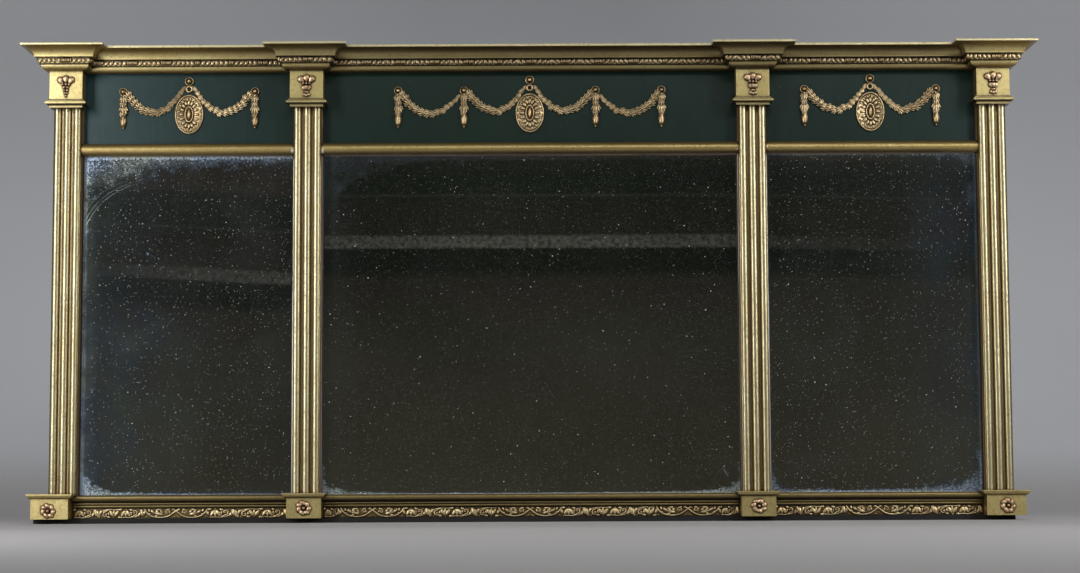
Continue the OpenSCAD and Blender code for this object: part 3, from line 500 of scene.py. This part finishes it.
def hardware_finish(name, clean, tarnish, roughness):
    """Old ironmongery: bright where it rubs, dull with tarnish in 3 mm clouds elsewhere."""
    material, put, where = new_finish(name)
    cloud = put("TexNoise", {"Vector": where, "Scale": 300, "Detail": 6, "Roughness": 0.65})
    cloud_f = put("MapRange", (cloud, 0.4, 0.62))
    colour = put("Mix", (cloud_f, clean, tarnish))
    rough = put("MapRange", (cloud_f, 0, 1, roughness, roughness + 0.25))
    metal = put("MapRange", (cloud_f, 0, 1, 1, 0.55))
    pits = put("Bump", {"Height": cloud, "Strength": 0.4, "Distance": 0.0002})
    skin = put("BsdfPrincipled", {"Base Color": colour, "Metallic": metal, "Roughness": rough,
        "Normal": pits})
    put("OutputMaterial", (skin,))
    return material


paint = paint_finish()
slip = slip_finish()
upright_pine = pine_finish("aged_pine_upright", (1, 1, 0.04))
lying_pine = pine_finish("aged_pine_lying", (0.04, 1, 1))
brass = hardware_finish("aged_brass", "#C09A52", "#5E4726", 0.3)
steel = hardware_finish("aged_steel", "#8A857C", "#54402E", 0.4)


def each(places, *parts):
    """The names of the same parts at several places."""
    return [place + "_" + part for part in parts for place in places]


FINISH_OF = {
    reed_gilding: each(COLUMNS, "column"),
    gilding: each(COLUMNS, "die", "cap", "block") + each(SIDES, "cornice"),
    base_gilding: each(SIDES, "base_moulding"),
    bead_gilding: each(SIDES, "transom_bead"),
    compo: each(SIDES, "laurel_band", "festoon") + ["cap_laurel_bands"],
    dark_gilding: ["neckings"],
    scroll_compo: each(SIDES, "scroll_band"),
    rosy_compo: ["rosettes", "urn_mounts"],
    paint: each(SIDES, "frieze_panel"),
    left_plate: ["left_mirror_plate"],
    centre_plate: ["centre_mirror_plate"],
    right_plate: ["right_mirror_plate"],
    slip: ["glass_slips"],
    upright_pine: (each(SIDES, "backboard") + each(SIDES[::2], "stile", "muntin")
                   + ["glazing_blocks"]),
    lying_pine: ["top_rail", "bottom_rail", "frieze_rail"],
    brass: each(SIDES[::2], "hanger_ring") + ["hanger_straps"],
    steel: ["screws"],
}
for finish, names in FINISH_OF.items():
    for name in names:
        nodes[name].data.materials.clear()
        nodes[name].data.materials.append(finish)


def soften(piece):
    """Rounds a CAD node's edges by half a millimetre as gesso does, and keeps its flats flat."""
    piece.data.shade_smooth()
    weld = piece.modifiers.new("weld", "WELD")
    weld.merge_threshold = 0.00001
    bevel = piece.modifiers.new("gesso_edge", "BEVEL")
    bevel.width = 0.5 * MM
    bevel.segments = 2
    bevel.limit_method = "ANGLE"
    bevel.angle_limit = math.radians(32)
    flats = piece.modifiers.new("flats", "WEIGHTED_NORMAL")
    flats.keep_sharp = True


for finish in (gilding, base_gilding, bead_gilding, dark_gilding, reed_gilding):
    for name in FINISH_OF[finish]:
        soften(nodes[name])


# ---------------------------------------------------------------- cast ornament

# Patterns are made in millimetres, flat on a wall that faces the viewer (-Y), and set out
# in millimetres too. settle() brings a finished piece to metres.

def cast(parts):
    """Joins parts to one pattern at the origin."""
    pick(*parts)
    bpy.ops.object.join()
    return fix(bpy.context.object)


def turn_profile(points, steps):
    """Lathe work: a profile of (radius, height towards the viewer), spun round the Y axis."""
    piece = start("plane", size=1)
    bpy.ops.object.mode_set(mode="EDIT")
    bpy.ops.mesh.merge(type="CENTER")
    bpy.ops.transform.translate(value=(points[0][0], -points[0][1], 0))
    for (r0, h0), (r1, h1) in zip(points, points[1:]):
        bpy.ops.mesh.extrude_region_move(TRANSFORM_OT_translate={"value": (r1 - r0, h0 - h1, 0)})
    bpy.ops.mesh.select_all(action="SELECT")
    bpy.ops.mesh.spin(steps=steps, angle=2 * math.pi, center=(0, 0, 0), axis=(0, 1, 0))
    bpy.ops.mesh.select_all(action="SELECT")
    bpy.ops.mesh.remove_doubles(threshold=0.001)
    bpy.ops.mesh.normals_make_consistent(inside=False)
    bpy.ops.object.mode_set(mode="OBJECT")
    piece.data.shade_smooth()
    return piece


def press(piece, wanted, size):
    """Scales the verts that `wanted` says yes to, from the origin."""
    grip(piece, "verts", wanted)
    bpy.ops.transform.resize(value=size, center_override=(0, 0, 0))


def flatten_back(piece, depth):
    """Presses what lies behind the wall plane to `depth` of its thickness."""
    press(piece, lambda v: v.co.y > 0.01, (1, depth, 1))


def seat(piece):
    """Makes a shape of radius 1 that faces the viewer 1 wide and 1 long, its foot at the origin."""
    clear_selection()
    piece.scale = (0.5, 1, 0.5)
    piece.location = (0, 0, 0.5)
    piece.data.shade_smooth()
    return fix(piece)


def build_leaf():
    """A pointed leaf with a sunk vein, 1 wide, 1 proud and 1 long, its stalk at the origin."""
    leaf = start("uv_sphere", segments=8, ring_count=4, radius=1)
    flatten_back(leaf, 0.15)
    press(leaf, lambda v: abs(v.co.x) < 0.01 and v.co.y < -0.1, (1, 0.5, 1))
    press(leaf, lambda v: v.co.z > 0.6, (0.75, 0.8, 1))
    grip(leaf, "verts", lambda v: v.co.z > 0.9)
    bpy.ops.transform.translate(value=(0, -0.25, 0))
    return seat(leaf)


def build_bead():
    """A berry, 1 across and half of it proud."""
    bead = start("uv_sphere", segments=8, ring_count=5, radius=0.5)
    flatten_back(bead, 0.2)
    clear_selection()
    bead.data.shade_smooth()
    return bead


def build_petal():
    """A round dished petal, 1 wide, 1 proud and 1 long, its foot at the origin."""
    petal = start("uv_sphere", segments=10, ring_count=6, radius=1)
    flatten_back(petal, 0.15)
    grip(petal, "verts", lambda v: abs(v.co.x) < 0.35 and v.co.y < -0.3 and -0.6 < v.co.z < 0.7)
    bpy.ops.transform.translate(value=(0, 0.35, 0))
    press(petal, lambda v: v.co.z < -0.4, (0.6, 0.8, 1))
    return seat(petal)


def build_husk():
    """A bell husk of five narrow leaves, 1 long and 0.9 wide at its tips, opening upwards."""
    leaves = ((0, 0.3, 0.36, 1.0), (-19, 0.26, 0.3, 0.95), (19, 0.26, 0.3, 0.95),
              (-36, 0.2, 0.22, 0.8), (36, 0.2, 0.22, 0.8))
    parts = [twin(leaf, 0.1 * math.sin(math.radians(turn)), 0, 0, turn, size, 6)
             for turn, *size in leaves]
    parts.append(twin(bead, 0, 0, 0.2, 0, (0.36, 0.5, 0.5)))
    return cast(parts)


def build_rosette():
    """A flower of seven fat lobes that touch in a ring, 1 across, each with its tip turned
    sideways, about a separate boss."""
    parts = []
    for i in range(7):
        turn = 360 / 7 * i + 12
        angle = math.radians(turn)
        parts.append(twin(bead, 0.33 * math.sin(angle), 0, 0.33 * math.cos(angle), turn + 30,
            (0.5, 0.5, 0.34)))
    parts.append(twin(bead, 0, 0, 0, 0, (0.26, 0.8, 0.26)))
    return cast(parts)


def stem(points, thick, thin):
    """A tendril along points of (x, z), lying half sunk in the wall and tapering to its tip."""
    clear_selection()
    bpy.ops.curve.primitive_nurbs_path_add(location=(0, 0, 0))
    path = bpy.context.object
    spline = path.data.splines[0]
    spline.points.add(len(points) - len(spline.points))
    for i, (x, z) in enumerate(points):
        spline.points[i].co = (x, -0.35 * thick, z, 1)
        spline.points[i].radius = 1 + (thin / thick - 1) * i / (len(points) - 1)
    spline.order_u = 3
    spline.use_endpoint_u = True
    path.data.resolution_u = 2
    path.data.bevel_depth = thick / 2
    path.data.bevel_resolution = 1
    path.data.use_fill_caps = True
    bpy.ops.object.convert(target="MESH")
    tendril = bpy.context.object
    tendril.data.shade_smooth()
    return tendril


def settle(name, parts, node, finish):
    """Joins castings to the named piece, in metres, in place of its CAD node."""
    piece = cast(parts)
    piece.scale = (MM, MM, MM)
    fix(piece)
    bpy.ops.object.mode_set(mode="EDIT")
    bpy.ops.mesh.select_all(action="SELECT")
    bpy.ops.mesh.normals_make_consistent(inside=False)
    bpy.ops.object.mode_set(mode="OBJECT")
    piece.name = name
    piece.data.name = name
    piece.data.materials.clear()
    piece.data.materials.append(finish)
    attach(piece, "mirror")
    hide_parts(node)


def walk(points, step):
    """Stations along a line of (x, z): x, z, heading in degrees from upright, and share done."""
    lengths = [math.dist(a, b) for a, b in zip(points, points[1:])]
    total = sum(lengths)
    count = max(1, round(total / step))
    for i in range(count):
        far = total * i / count
        k = 0
        while far > lengths[k]:
            far -= lengths[k]
            k += 1
        (x0, z0), (x1, z1) = points[k], points[k + 1]
        t = far / lengths[k]
        heading = math.degrees(math.atan2(x1 - x0, z1 - z0))
        yield x0 + t * (x1 - x0), z0 + t * (z1 - z0), heading, i / count


leaf = build_leaf()
bead = build_bead()
petal = build_petal()
husk = build_husk()
rosette = build_rosette()
# A rimmed button with a full boss, 1 in radius and 0.75 proud.
roundel = turn_profile(((0, -0.05), (0.94, -0.05), (1, 0.1), (0.98, 0.3), (0.89, 0.42),
                        (0.79, 0.34), (0.72, 0.12), (0.6, 0.12), (0.54, 0.36), (0.42, 0.6),
                        (0.22, 0.73), (0, 0.76)), 24)


# ---- festoons

# The buttons hang this far apart. The lines of the swag beside the oval, and of the one further
# out, are (x, z) with x from the oval or the button that they start at.
BUTTON_PITCH = 92
NEAR_SWAG = ((3, 602), (10.6, 593), (17.5, 584), (27, 574), (39, 566.5), (51.7, 564.5), (65, 569),
             (76, 578.5), (86, 590))
FAR_SWAG = ((3, 589), (9, 582), (18, 573.5), (28, 566.5), (41, 562), (53, 562), (66, 566.5),
            (75, 574), (83, 583), (88, 590))
OVAL_Z = 561.5


def swag_parts(x, side, line):
    """Husks strung along the line, small at its start and full by the button at its end."""
    for px, pz, heading, share in walk(line, 7.4):
        full = 0.45 + 0.55 * min(1, share * 1.8)
        swing = CHANCE.uniform(-9, 9)
        yield twin(husk, x + side * px, PANEL_Y, pz, side * (heading + swing),
            (12.6 * full, 14 * full, 13), 4)


def drop_parts(x):
    """A button with four husks hung from it in a chain, and a closed bud with a berry."""
    yield twin(roundel, x, PANEL_Y, 593.5, 0, (5.9, 8.5, 5.9))
    yield twin(bead, x, PANEL_Y, 575, 0, (8.4, 8, 34))
    for top, wide, long in ((590.5, 11.5, 15.5), (583, 9.5, 14), (577, 13, 18.5), (569.5, 9.5, 15)):
        yield twin(husk, x + CHANCE.uniform(-0.4, 0.4), PANEL_Y - 0.8, top,
                   180 + CHANCE.uniform(-4, 4), (wide, 14, long), 3)
    yield twin(bead, x, PANEL_Y, 551.5, 0, (9.4, 12, 20))
    for turn in (-13, 0, 13):
        yield twin(leaf, x + 0.1 * turn, PANEL_Y - 3.4, 562, 180 + turn * 0.6, (3.4, 3.4, 18))
    for side in (-1, 1):
        yield twin(leaf, x + 3.2 * side, PANEL_Y - 1, 560, 180 + 4 * side, (2.8, 4, 17))
    yield twin(bead, x, PANEL_Y - 1, 542.5, 0, (3.6, 6, 4))


def oval_parts(x):
    """The oval patera under its ring and roundel: a rim, a crown of leaves and a boss."""
    rim = ((0, -0.3), (27.6, -0.3), (28, 0.4), (28, 1.9), (27.4, 2.9), (26.5, 3.2), (25.7, 2.9),
           (25.2, 1.8), (24.6, 1.4), (0, 1.4))
    collar = ((0, 0.5), (1, 0.5), (1, 3.3), (0.93, 4.1), (0.82, 3.9), (0.76, 2.8), (0, 2.4))
    for profile, steps, size in ((rim, 48, (20 / 28, 1, 1)), (collar, 32, (6.2, 1, 12))):
        turned = turn_profile(profile, steps)
        turned.scale = size
        turned.location = (x, PANEL_Y, OVAL_Z)
        yield turned
    yield twin(bead, x, PANEL_Y - 2.4, OVAL_Z, 0, (5.8, 8, 17))
    for i in range(16):
        angle = 2 * math.pi * i / 16
        foot = Vector((5.8 * math.sin(angle), 0, 11.4 * math.cos(angle)))
        way = Vector((14.2 * math.sin(angle), 0, 20.6 * math.cos(angle))) - foot
        turn = math.degrees(math.atan2(way.x, way.z))
        yield twin(petal, x + foot.x, PANEL_Y - 1.2, OVAL_Z + foot.z, turn,
                   (4.6, 2.8, way.length), 5)
        # Between the tips, and again against the rim, lie smaller leaves.
        for part, out, up, wide, long in ((0.5, 12.2, 18.4, 2.6, 6.2), (0.25, 15.2, 21.8, 2.2, 3.4),
                                          (0.75, 15.2, 21.8, 2.2, 3.4)):
            between = angle + part * math.pi / 8
            root = Vector((out * math.sin(between), 0, up * math.cos(between)))
            turn = math.degrees(math.atan2(root.x, root.z)) + CHANCE.uniform(-18, 18)
            yield twin(leaf, x + root.x, PANEL_Y - 1.1, OVAL_Z + root.z, turn, (wide, 2.2, long))
    yield twin(roundel, x, PANEL_Y, 608, 0, (6.2, 8.5, 6.2))
    ring = start("torus", major_radius=3.8, minor_radius=1.25, major_segments=24, minor_segments=8,
        location=(x, PANEL_Y - 2.2, 597), rotation=(math.radians(90), 0, 0))
    ring.data.shade_smooth()
    yield ring


for bay, x in zip(SIDES, BAY_X):
    parts = list(oval_parts(x))
    for side in (-1, 1):
        parts += swag_parts(x, side, NEAR_SWAG)
        parts += drop_parts(x + side * BUTTON_PITCH)
        if bay == "centre":
            parts += swag_parts(x + side * BUTTON_PITCH, side, FAR_SWAG)
            parts += drop_parts(x + side * 2 * BUTTON_PITCH)
    settle(bay + "_festoon_casting", parts, bay + "_festoon", compo)


# ---- flower baskets on the dies and rosettes on the blocks

def fan_parts(x):
    """A fan of three broad lobes, the middle one in front."""
    for side in (-1, 1, 0):
        yield twin(petal, x + 3.2 * side, DIE_Y, 600 - 0.4 * abs(side), 36 * side,
            (10.5, 5.2 if side else 6.2, 13))


def basket_parts(x):
    """A fan with a berry at each lobe, heaped on a ribbed basket with a neck and a flared foot."""
    for side, lobe in zip((-1, 1, 0), fan_parts(x)):
        yield lobe
        yield twin(bead, x + 4.4 * side, DIE_Y - 1, 599.4, 0, (4.4, 6.4, 4))
    for side in (-1, 1, 0):
        yield twin(petal, x + 1.6 * side, DIE_Y, 588.6, 22 * side, (7, 4.2 if side else 5.4, 9.6))
    yield twin(bead, x, DIE_Y, 587.4, 0, (8, 8, 4.6))
    for side in (-1, 1, 0):
        yield twin(petal, x + 0.8 * side, DIE_Y, 586.6, 180 - 42 * side, (4.6, 3.6, 6.4))


def bunch_parts(x):
    """The same fan over a bunch of berries that tapers to a bud."""
    yield from fan_parts(x)
    for z, wide, offsets in ((599.4, 5, (-4.6, 0, 4.6)), (595.2, 5, (-2.5, 2.5)),
            (591, 4.6, (-2.1, 2.1)), (587.4, 4.2, (-1.2, 1.8)), (583.4, 5, (0,))):
        for dx in offsets:
            yield twin(bead, x + dx, DIE_Y, z, 0, (wide, 1.5 * wide, wide))


mounts = list(bunch_parts(COLUMN_X[0]))
for x in COLUMN_X[1:]:
    mounts += basket_parts(x)
settle("flower_baskets", mounts, "urn_mounts", rosy_compo)

# The end rosettes are a little off the middle of their blocks.
parts = [twin(rosette, x, BLOCK_Y - 0.2, z, CHANCE.uniform(0, 40), (22.5, 11, 20))
         for x, z in ((-656.8, 11.4), (-309.5, 13.75), (309.5, 13.75), (648.0, 13.0))]
settle("block_rosettes", parts, "rosettes", rosy_compo)


# ---- laurel bands

LAUREL_Z = 631.5
RIBBON_PITCH = 46.0
# The bands go round the cornice and the caps that stand out from it; the end caps run on to the
# back.
CORNICE_Y = -24
CAP_Y = -48
BACK_Y = 11
CAP_HALF = 36


def laurel_parts(row, length, start_at):
    """A laurel garland along a row, bound with a ribbed ribbon at every pitch. The leaves lean
    away from each ribbon, each with a berry, and meet half way."""
    s = 2.6
    while s < length - 1.5:
        phase = (s + start_at) % RIBBON_PITCH
        off = phase if phase < RIBBON_PITCH / 2 else phase - RIBBON_PITCH
        if abs(off) < 6:
            for rib in (-1, 0, 1):
                yield twin(bead, s + 2.2 * rib, 0, 0, 8, (3.1, 6.4, 8.2), row=row)
            s += 7.2
        else:
            lean_to = 32 if off > 0 else -32
            yield twin(leaf, s - 0.055 * lean_to, 0, -3.9, lean_to + CHANCE.uniform(-6, 6),
                (5.4, 3.2, 8.6), row=row)
            yield twin(bead, s + 0.06 * lean_to, 0, -2.0 if off > 0 else 2.2, 0, (2.6, 4.6, 2.6),
                row=row)
            s += 6.6


def row_frame(x, y, turn):
    """A row that starts at x, y and runs to the right of someone who faces it."""
    return Matrix.Translation((x, y, LAUREL_Z)) @ Matrix.Rotation(math.radians(turn), 4, "Z")


for bay, left, right in zip(SIDES, COLUMN_X, COLUMN_X[1:]):
    x, length = left + CAP_HALF, right - left - 2 * CAP_HALF
    parts = laurel_parts(row_frame(x, CORNICE_Y, 0), length, length / 2 % RIBBON_PITCH)
    settle(bay + "_laurel_garland", list(parts), bay + "_laurel_band", compo)

parts = []
for i, x in enumerate(COLUMN_X):
    left_back = BACK_Y if i == 0 else CORNICE_Y
    right_back = BACK_Y if i == 3 else CORNICE_Y
    parts += laurel_parts(row_frame(x - CAP_HALF, left_back, -90), left_back - CAP_Y, 20)
    parts += laurel_parts(row_frame(x - CAP_HALF, CAP_Y, 0), 2 * CAP_HALF, 8)
    parts += laurel_parts(row_frame(x + CAP_HALF, CAP_Y, 90), right_back - CAP_Y, 20)
settle("cap_laurel_garlands", parts, "cap_laurel_bands", compo)


# ---- scroll bands

BAND_Y, BAND_Z = -18.0, 7.1
BOW_REACH = 45
SPRAY_LONG = 31


def curl(x, z, radius, tighter, first, turn, count):
    """Points of a curl round x, z: each is `turn` degrees on from the last and `tighter` in."""
    points = []
    for i in range(count):
        angle = math.radians(first + turn * i)
        away = radius - tighter * i
        points.append((x + away * math.cos(angle), z + away * math.sin(angle)))
    return points


def build_sprig(tendrils, eye, proud, leaves, berry, berries):
    """A pattern of foliage: tendrils (points and two thicknesses), a berry in the eye of the
    curl (x, z and width), leaves (x, z, turn, width and length) and small berries (x, z)."""
    parts = [stem(*tendril) for tendril in tendrils]
    x, z, wide = eye
    parts.append(twin(bead, x, 0, z, 0, (wide, 6, wide)))
    for x, z, turn, wide, long in leaves:
        parts.append(twin(leaf, x, -0.2, z, turn, (wide, proud, long)))
    for x, z in berries:
        parts.append(twin(bead, x, 0, z, 0, berry))
    return cast(parts)


# Half of a pair of crossed bows: a thin stem that dips from over the crossing and rises again,
# a curl and half leaves inside it, and berries round the crossing.
bow = build_sprig(
    ((((-5, 5.8), (0, 3.4), (5, -0.4), (10, -3.8), (17, -5.5), (26, -5.5), (34, -3.6), (40, 0.4),
       (43.5, 5.8)), 2.8, 2.4), (curl(12, 1.6, 3.6, 0.25, 200, -42, 11), 2.1, 1.3)),
    (12, 1.6, 2.8), 3.4,
    ((17, -2.0, 78, 4.4, 13), (18, -0.8, 34, 3.6, 7.4), (23, -0.4, 46, 3.6, 7.2),
     (28, 0.2, 62, 3.8, 8), (24, -2.4, 112, 3.2, 6), (36, 1.0, 14, 3.2, 5.6), (19, 5.4, 96, 2.8, 9),
     (45.5, -3.5, -28, 4, 9.5), (34, -1.4, 80, 3, 5), (8, 5.6, 100, 2.4, 6)),
    (2, 3.6, 2), ((1.8, -4.6), (4.4, -5.4), (2.4, 5.8), (5.2, 4.4), (33, 4.8), (40.5, -4.8)))

# A spray of acanthus: two broad leaves that part downwards from a boss, a curl with a berry,
# and a leaf that leans over to the next spray.
spray = build_sprig(
    ((((1, -5.4), (5, -4.6), (11, -5.6), (18, -5.4), (24, -3.2), (27.5, 1.2), (27.5, 5.6)),
      2.0, 1.6), (curl(19.6, 1.2, 4.2, 0.3, 250, 40, 10), 2.4, 1.5)),
    (19.6, 1.2, 2.9), 3.6,
    ((8, 4.8, 216, 5.4, 11.5), (8, 4.8, 146, 5.4, 11.5), (8, 3.0, 180, 3.6, 8.5),
     (3.5, 5.6, 262, 3.2, 6), (12, 5.4, 104, 3.2, 6), (24.5, -5.2, 22, 4.2, 8),
     (30.6, -5.0, -10, 5, 11.5), (13.5, -5.6, 70, 3.2, 7), (14.6, 3.6, 170, 2.6, 6)),
    (2.2, 4, 2.2), ((8, 5.2), (15, -1.6), (24, 4.9)))


def foliage_parts(x0, x1, crossings):
    """Crossed bows set out at the crossings, and sprays, every second one upside down, that
    fill what is left of the band."""
    ends = [x0 + 2]
    for x in crossings:
        for side in (-1, 1):
            yield twin(bow, x, BAND_Y, BAND_Z, 0, (side, 1, 1.03))
        ends += [x - BOW_REACH, x + BOW_REACH]
    ends.append(x1 - 2)
    for a, b in zip(ends[::2], ends[1::2]):
        count = round((b - a) / SPRAY_LONG)
        long = (b - a) / count
        for n in range(count):
            over = n % 2
            way = 1 - 2 * over
            yield twin(spray, a + long * (n + over), BAND_Y, BAND_Z, 0,
                       (way * long / SPRAY_LONG, 1, way * 1.03))


for bay, x0, x1, crossings in (("left", -629, -333, (-487,)),
                               ("centre", -286, 286, (-218, -2, 214.5)),
                               ("right", 333, 619.5, (475,))):
    settle(bay + "_scroll_foliage", list(foliage_parts(x0, x1, crossings)), bay + "_scroll_band",
        scroll_compo)

for pattern in (leaf, bead, petal, husk, roundel, rosette, bow, spray):
    bpy.data.objects.remove(pattern)


# ---------------------------------------------------------------- studio

def paper_finish():
    """Seamless paper: matt and pale, with painted shade high up in the middle, and toned on the
    floor.
    """
    material, put, where = new_finish("pale_paper")
    cloud = put("TexNoise", {"Vector": where, "Scale": 2, "Detail": 2})
    colour = put("Mix", (cloud, "#CCCED2", "#D4D6DA"))
    x_axis, _, z_axis = put("SeparateXYZ", (where,)).outputs
    # Painted shade, high up and toward the middle.
    high = put("MapRange", (z_axis, 0.35, 1.15), interpolation_type="SMOOTHSTEP")
    aside = put("Math", (x_axis,), operation="ABSOLUTE")
    middle = put("MapRange", (aside, 0.2, 1.3, 0.9, 0.25))
    top_shade = put("Math", (high, middle), operation="MULTIPLY")
    colour = put("Mix", (top_shade, colour, "#989A9E"))
    low = put("MapRange", (z_axis, 0, 0.12, 1, 0), interpolation_type="SMOOTHSTEP")
    floor = put("Mix", (low, colour, "#B2B0B0"))
    skin = put("BsdfPrincipled", {"Base Color": floor, "Roughness": 0.95, "IOR": 1.3})
    # Its back is clear, so that the mirror can be seen from behind.
    clear = put("BsdfTransparent")
    sides = put("MixShader", (put("NewGeometry").outputs["Backfacing"], skin, clear))
    put("OutputMaterial", (sides,))
    return material


def put_on_stage(piece, name, finish):
    """Names a studio piece and gives it its finish."""
    piece.name = name
    piece.data.materials.append(finish)


def build_sweep():
    """The floor, curved up into the backdrop behind the mirror."""
    sweep = start("plane", size=1)
    sweep.scale = (12, 6, 1)
    sweep.location = (0, -2.4, -0.0065)
    fix(sweep)
    grip(sweep, "edges", lambda e: all(v.co.y > 0.5 for v in e.verts))
    bpy.ops.mesh.spin(steps=16, angle=math.radians(-90), center=(0, 0.6, 0.8935), axis=(1, 0, 0))
    bpy.ops.mesh.extrude_region_move(TRANSFORM_OT_translate={"value": (0, 0, 5)})
    bpy.ops.object.mode_set(mode="OBJECT")
    sweep.data.shade_smooth()
    put_on_stage(sweep, "studio_sweep", paper_finish())


def batten_finish():
    """Black on wood, worn matt and a little brown: a painted shadow in the gap under the base."""
    material, put, where = new_finish("black_batten_painted_shadow")
    tone = put("TexNoise", {"Vector": where, "Scale": 60, "Detail": 3})
    colour = put("Mix", (tone, "#0C0B0A", "#1A1816"))
    skin = put("BsdfPrincipled", {"Base Color": colour, "Roughness": 0.8})
    put("OutputMaterial", (skin,))
    return material


def build_batten():
    """The dark batten on the floor that the mirror stands on; its black is a painted shadow under
    the base.
    """
    batten = start("cube", size=1)
    batten.scale = (1.345, 0.032, 0.0065)
    batten.location = (-0.0095, -0.006, -0.00325)
    fix(batten)
    edge = batten.modifiers.new("edge", "BEVEL")
    edge.width = 0.0008
    edge.segments = 2
    bpy.ops.object.modifier_apply(modifier=edge.name)
    put_on_stage(batten, "studio_batten", batten_finish())


def reflection_glow_finish():
    """A glowing sheet that paints what the plates reflect, a painted reflection of a dark studio:
    green-black above, a dim grained ledge across it, and olive below. Heights are over 1.1 m."""
    material, put, where = new_finish("painted_reflection_glow")
    x_axis, _, z_axis = put("SeparateXYZ", (where,)).outputs
    # The ledge isn't straight: it falls away behind the left plate and a little to the right,
    # where it also fades.
    along = put("MapRange", (x_axis, -1.46, 1.46))
    sag = put("ValToRGB", (along,), stops=((0, 0.081), (0.24, 0.12), (0.26, 0), (0.72, 0),
        (0.76, 0.004), (1, 0.022)))
    fade = put("ValToRGB", (along,), stops=((0.02, 0.25), (0.12, 0.6), (0.26, 0.75), (0.3, 1),
        (0.7, 0.9), (0.76, 0.45), (0.95, 0.05)))
    height = put("Math", (z_axis, sag), operation="ADD")
    rise = put("MapRange", (height, 0, 1.1))
    colour = put("ValToRGB", (rise,), stops=((0, "#34332A"), (0.14, "#302F26"), (0.43, "#2A2A24"),
        (0.575, "#25241F"), (0.636, "#22211C"), (0.662, "#121711"), (0.727, "#111610"),
        (0.777, "#1D1D18"), (0.864, "#1B1B17"), (0.882, "#191C17"), (0.885, "#2C2F29"),
        (0.889, "#161B15"), (0.94, "#141A14"), (0.985, "#1A1D18"), (1, "#262420")))
    ledge = put("ValToRGB", (rise,), stops=((0.727, 0), (0.731, 1), (0.764, 0.8), (0.77, 0)))
    grain = put("TexNoise", {"Vector": where, "Scale": 68, "Detail": 2, "Roughness": 0.6})
    grain_f = put("MapRange", (grain, 0.36, 0.64, 0.2, 1.3))
    ledge_f = put("Math", (ledge, grain_f), operation="MULTIPLY")
    ledge_f = put("Math", (ledge_f, fade), operation="MULTIPLY")
    colour = put("Mix", (ledge_f, colour, "#4A4945"))
    murk = put("TexNoise", {"Vector": where, "Scale": 1.6, "Detail": 3})
    murk_f = put("MapRange", (murk, 0.3, 0.7, 0.75, 1.15))
    glow = put("Emission", (colour, murk_f))
    put("OutputMaterial", (glow,))
    return material


def build_reflection_glow():
    """A glowing sheet behind the camera that only reflections see: a painted reflection."""
    glow_sheet = start("plane", size=1)
    glow_sheet.rotation_euler = (math.radians(90), 0, 0)
    glow_sheet.scale = (3.8, 1.9, 1)
    glow_sheet.location = (0, -4, 0.65)
    fix(glow_sheet)
    put_on_stage(glow_sheet, "studio_reflection_glow", reflection_glow_finish())
    glow_sheet.visible_camera = False
    glow_sheet.visible_diffuse = False
    glow_sheet.visible_shadow = False


def hang_lamp(name, place_at, size, power, aim):
    """A softbox at a plain level."""
    data = bpy.data.lights.new(name, "AREA")
    data.shape = "RECTANGLE"
    data.size, data.size_y = size
    data.energy = power
    lamp = bpy.data.objects.new(name, data)
    bpy.context.collection.objects.link(lamp)
    lamp.location = place_at
    lamp.rotation_euler = (Vector(aim) - Vector(place_at)).to_track_quat("-Z", "Y").to_euler()


build_sweep()
build_batten()
build_reflection_glow()
hang_lamp("left_softbox", (-1.18, -1.1, 0.56), (0.36, 1.0), 11, (-0.1, 0, 0.2))
hang_lamp("right_softbox", (1.48, -1.1, 0.85), (0.36, 1.1), 13, (0.1, 0, 0.25))
hang_lamp("front_bank", (0.5, -2.5, 1.85), (2.2, 0.5), 16, (0.1, 0, 0.4))
hang_lamp("background_bank", (0, 0.9, 2.5), (3.4, 0.5), 15, (0, 1.0, 0))

world = bpy.data.worlds.new("studio_air")
bpy.context.scene.world = world
world.use_nodes = True
world.node_tree.nodes.clear()
air = add(world.node_tree, "Background", ("#C8CACC", 0.12))
add(world.node_tree, "OutputWorld", (air,))
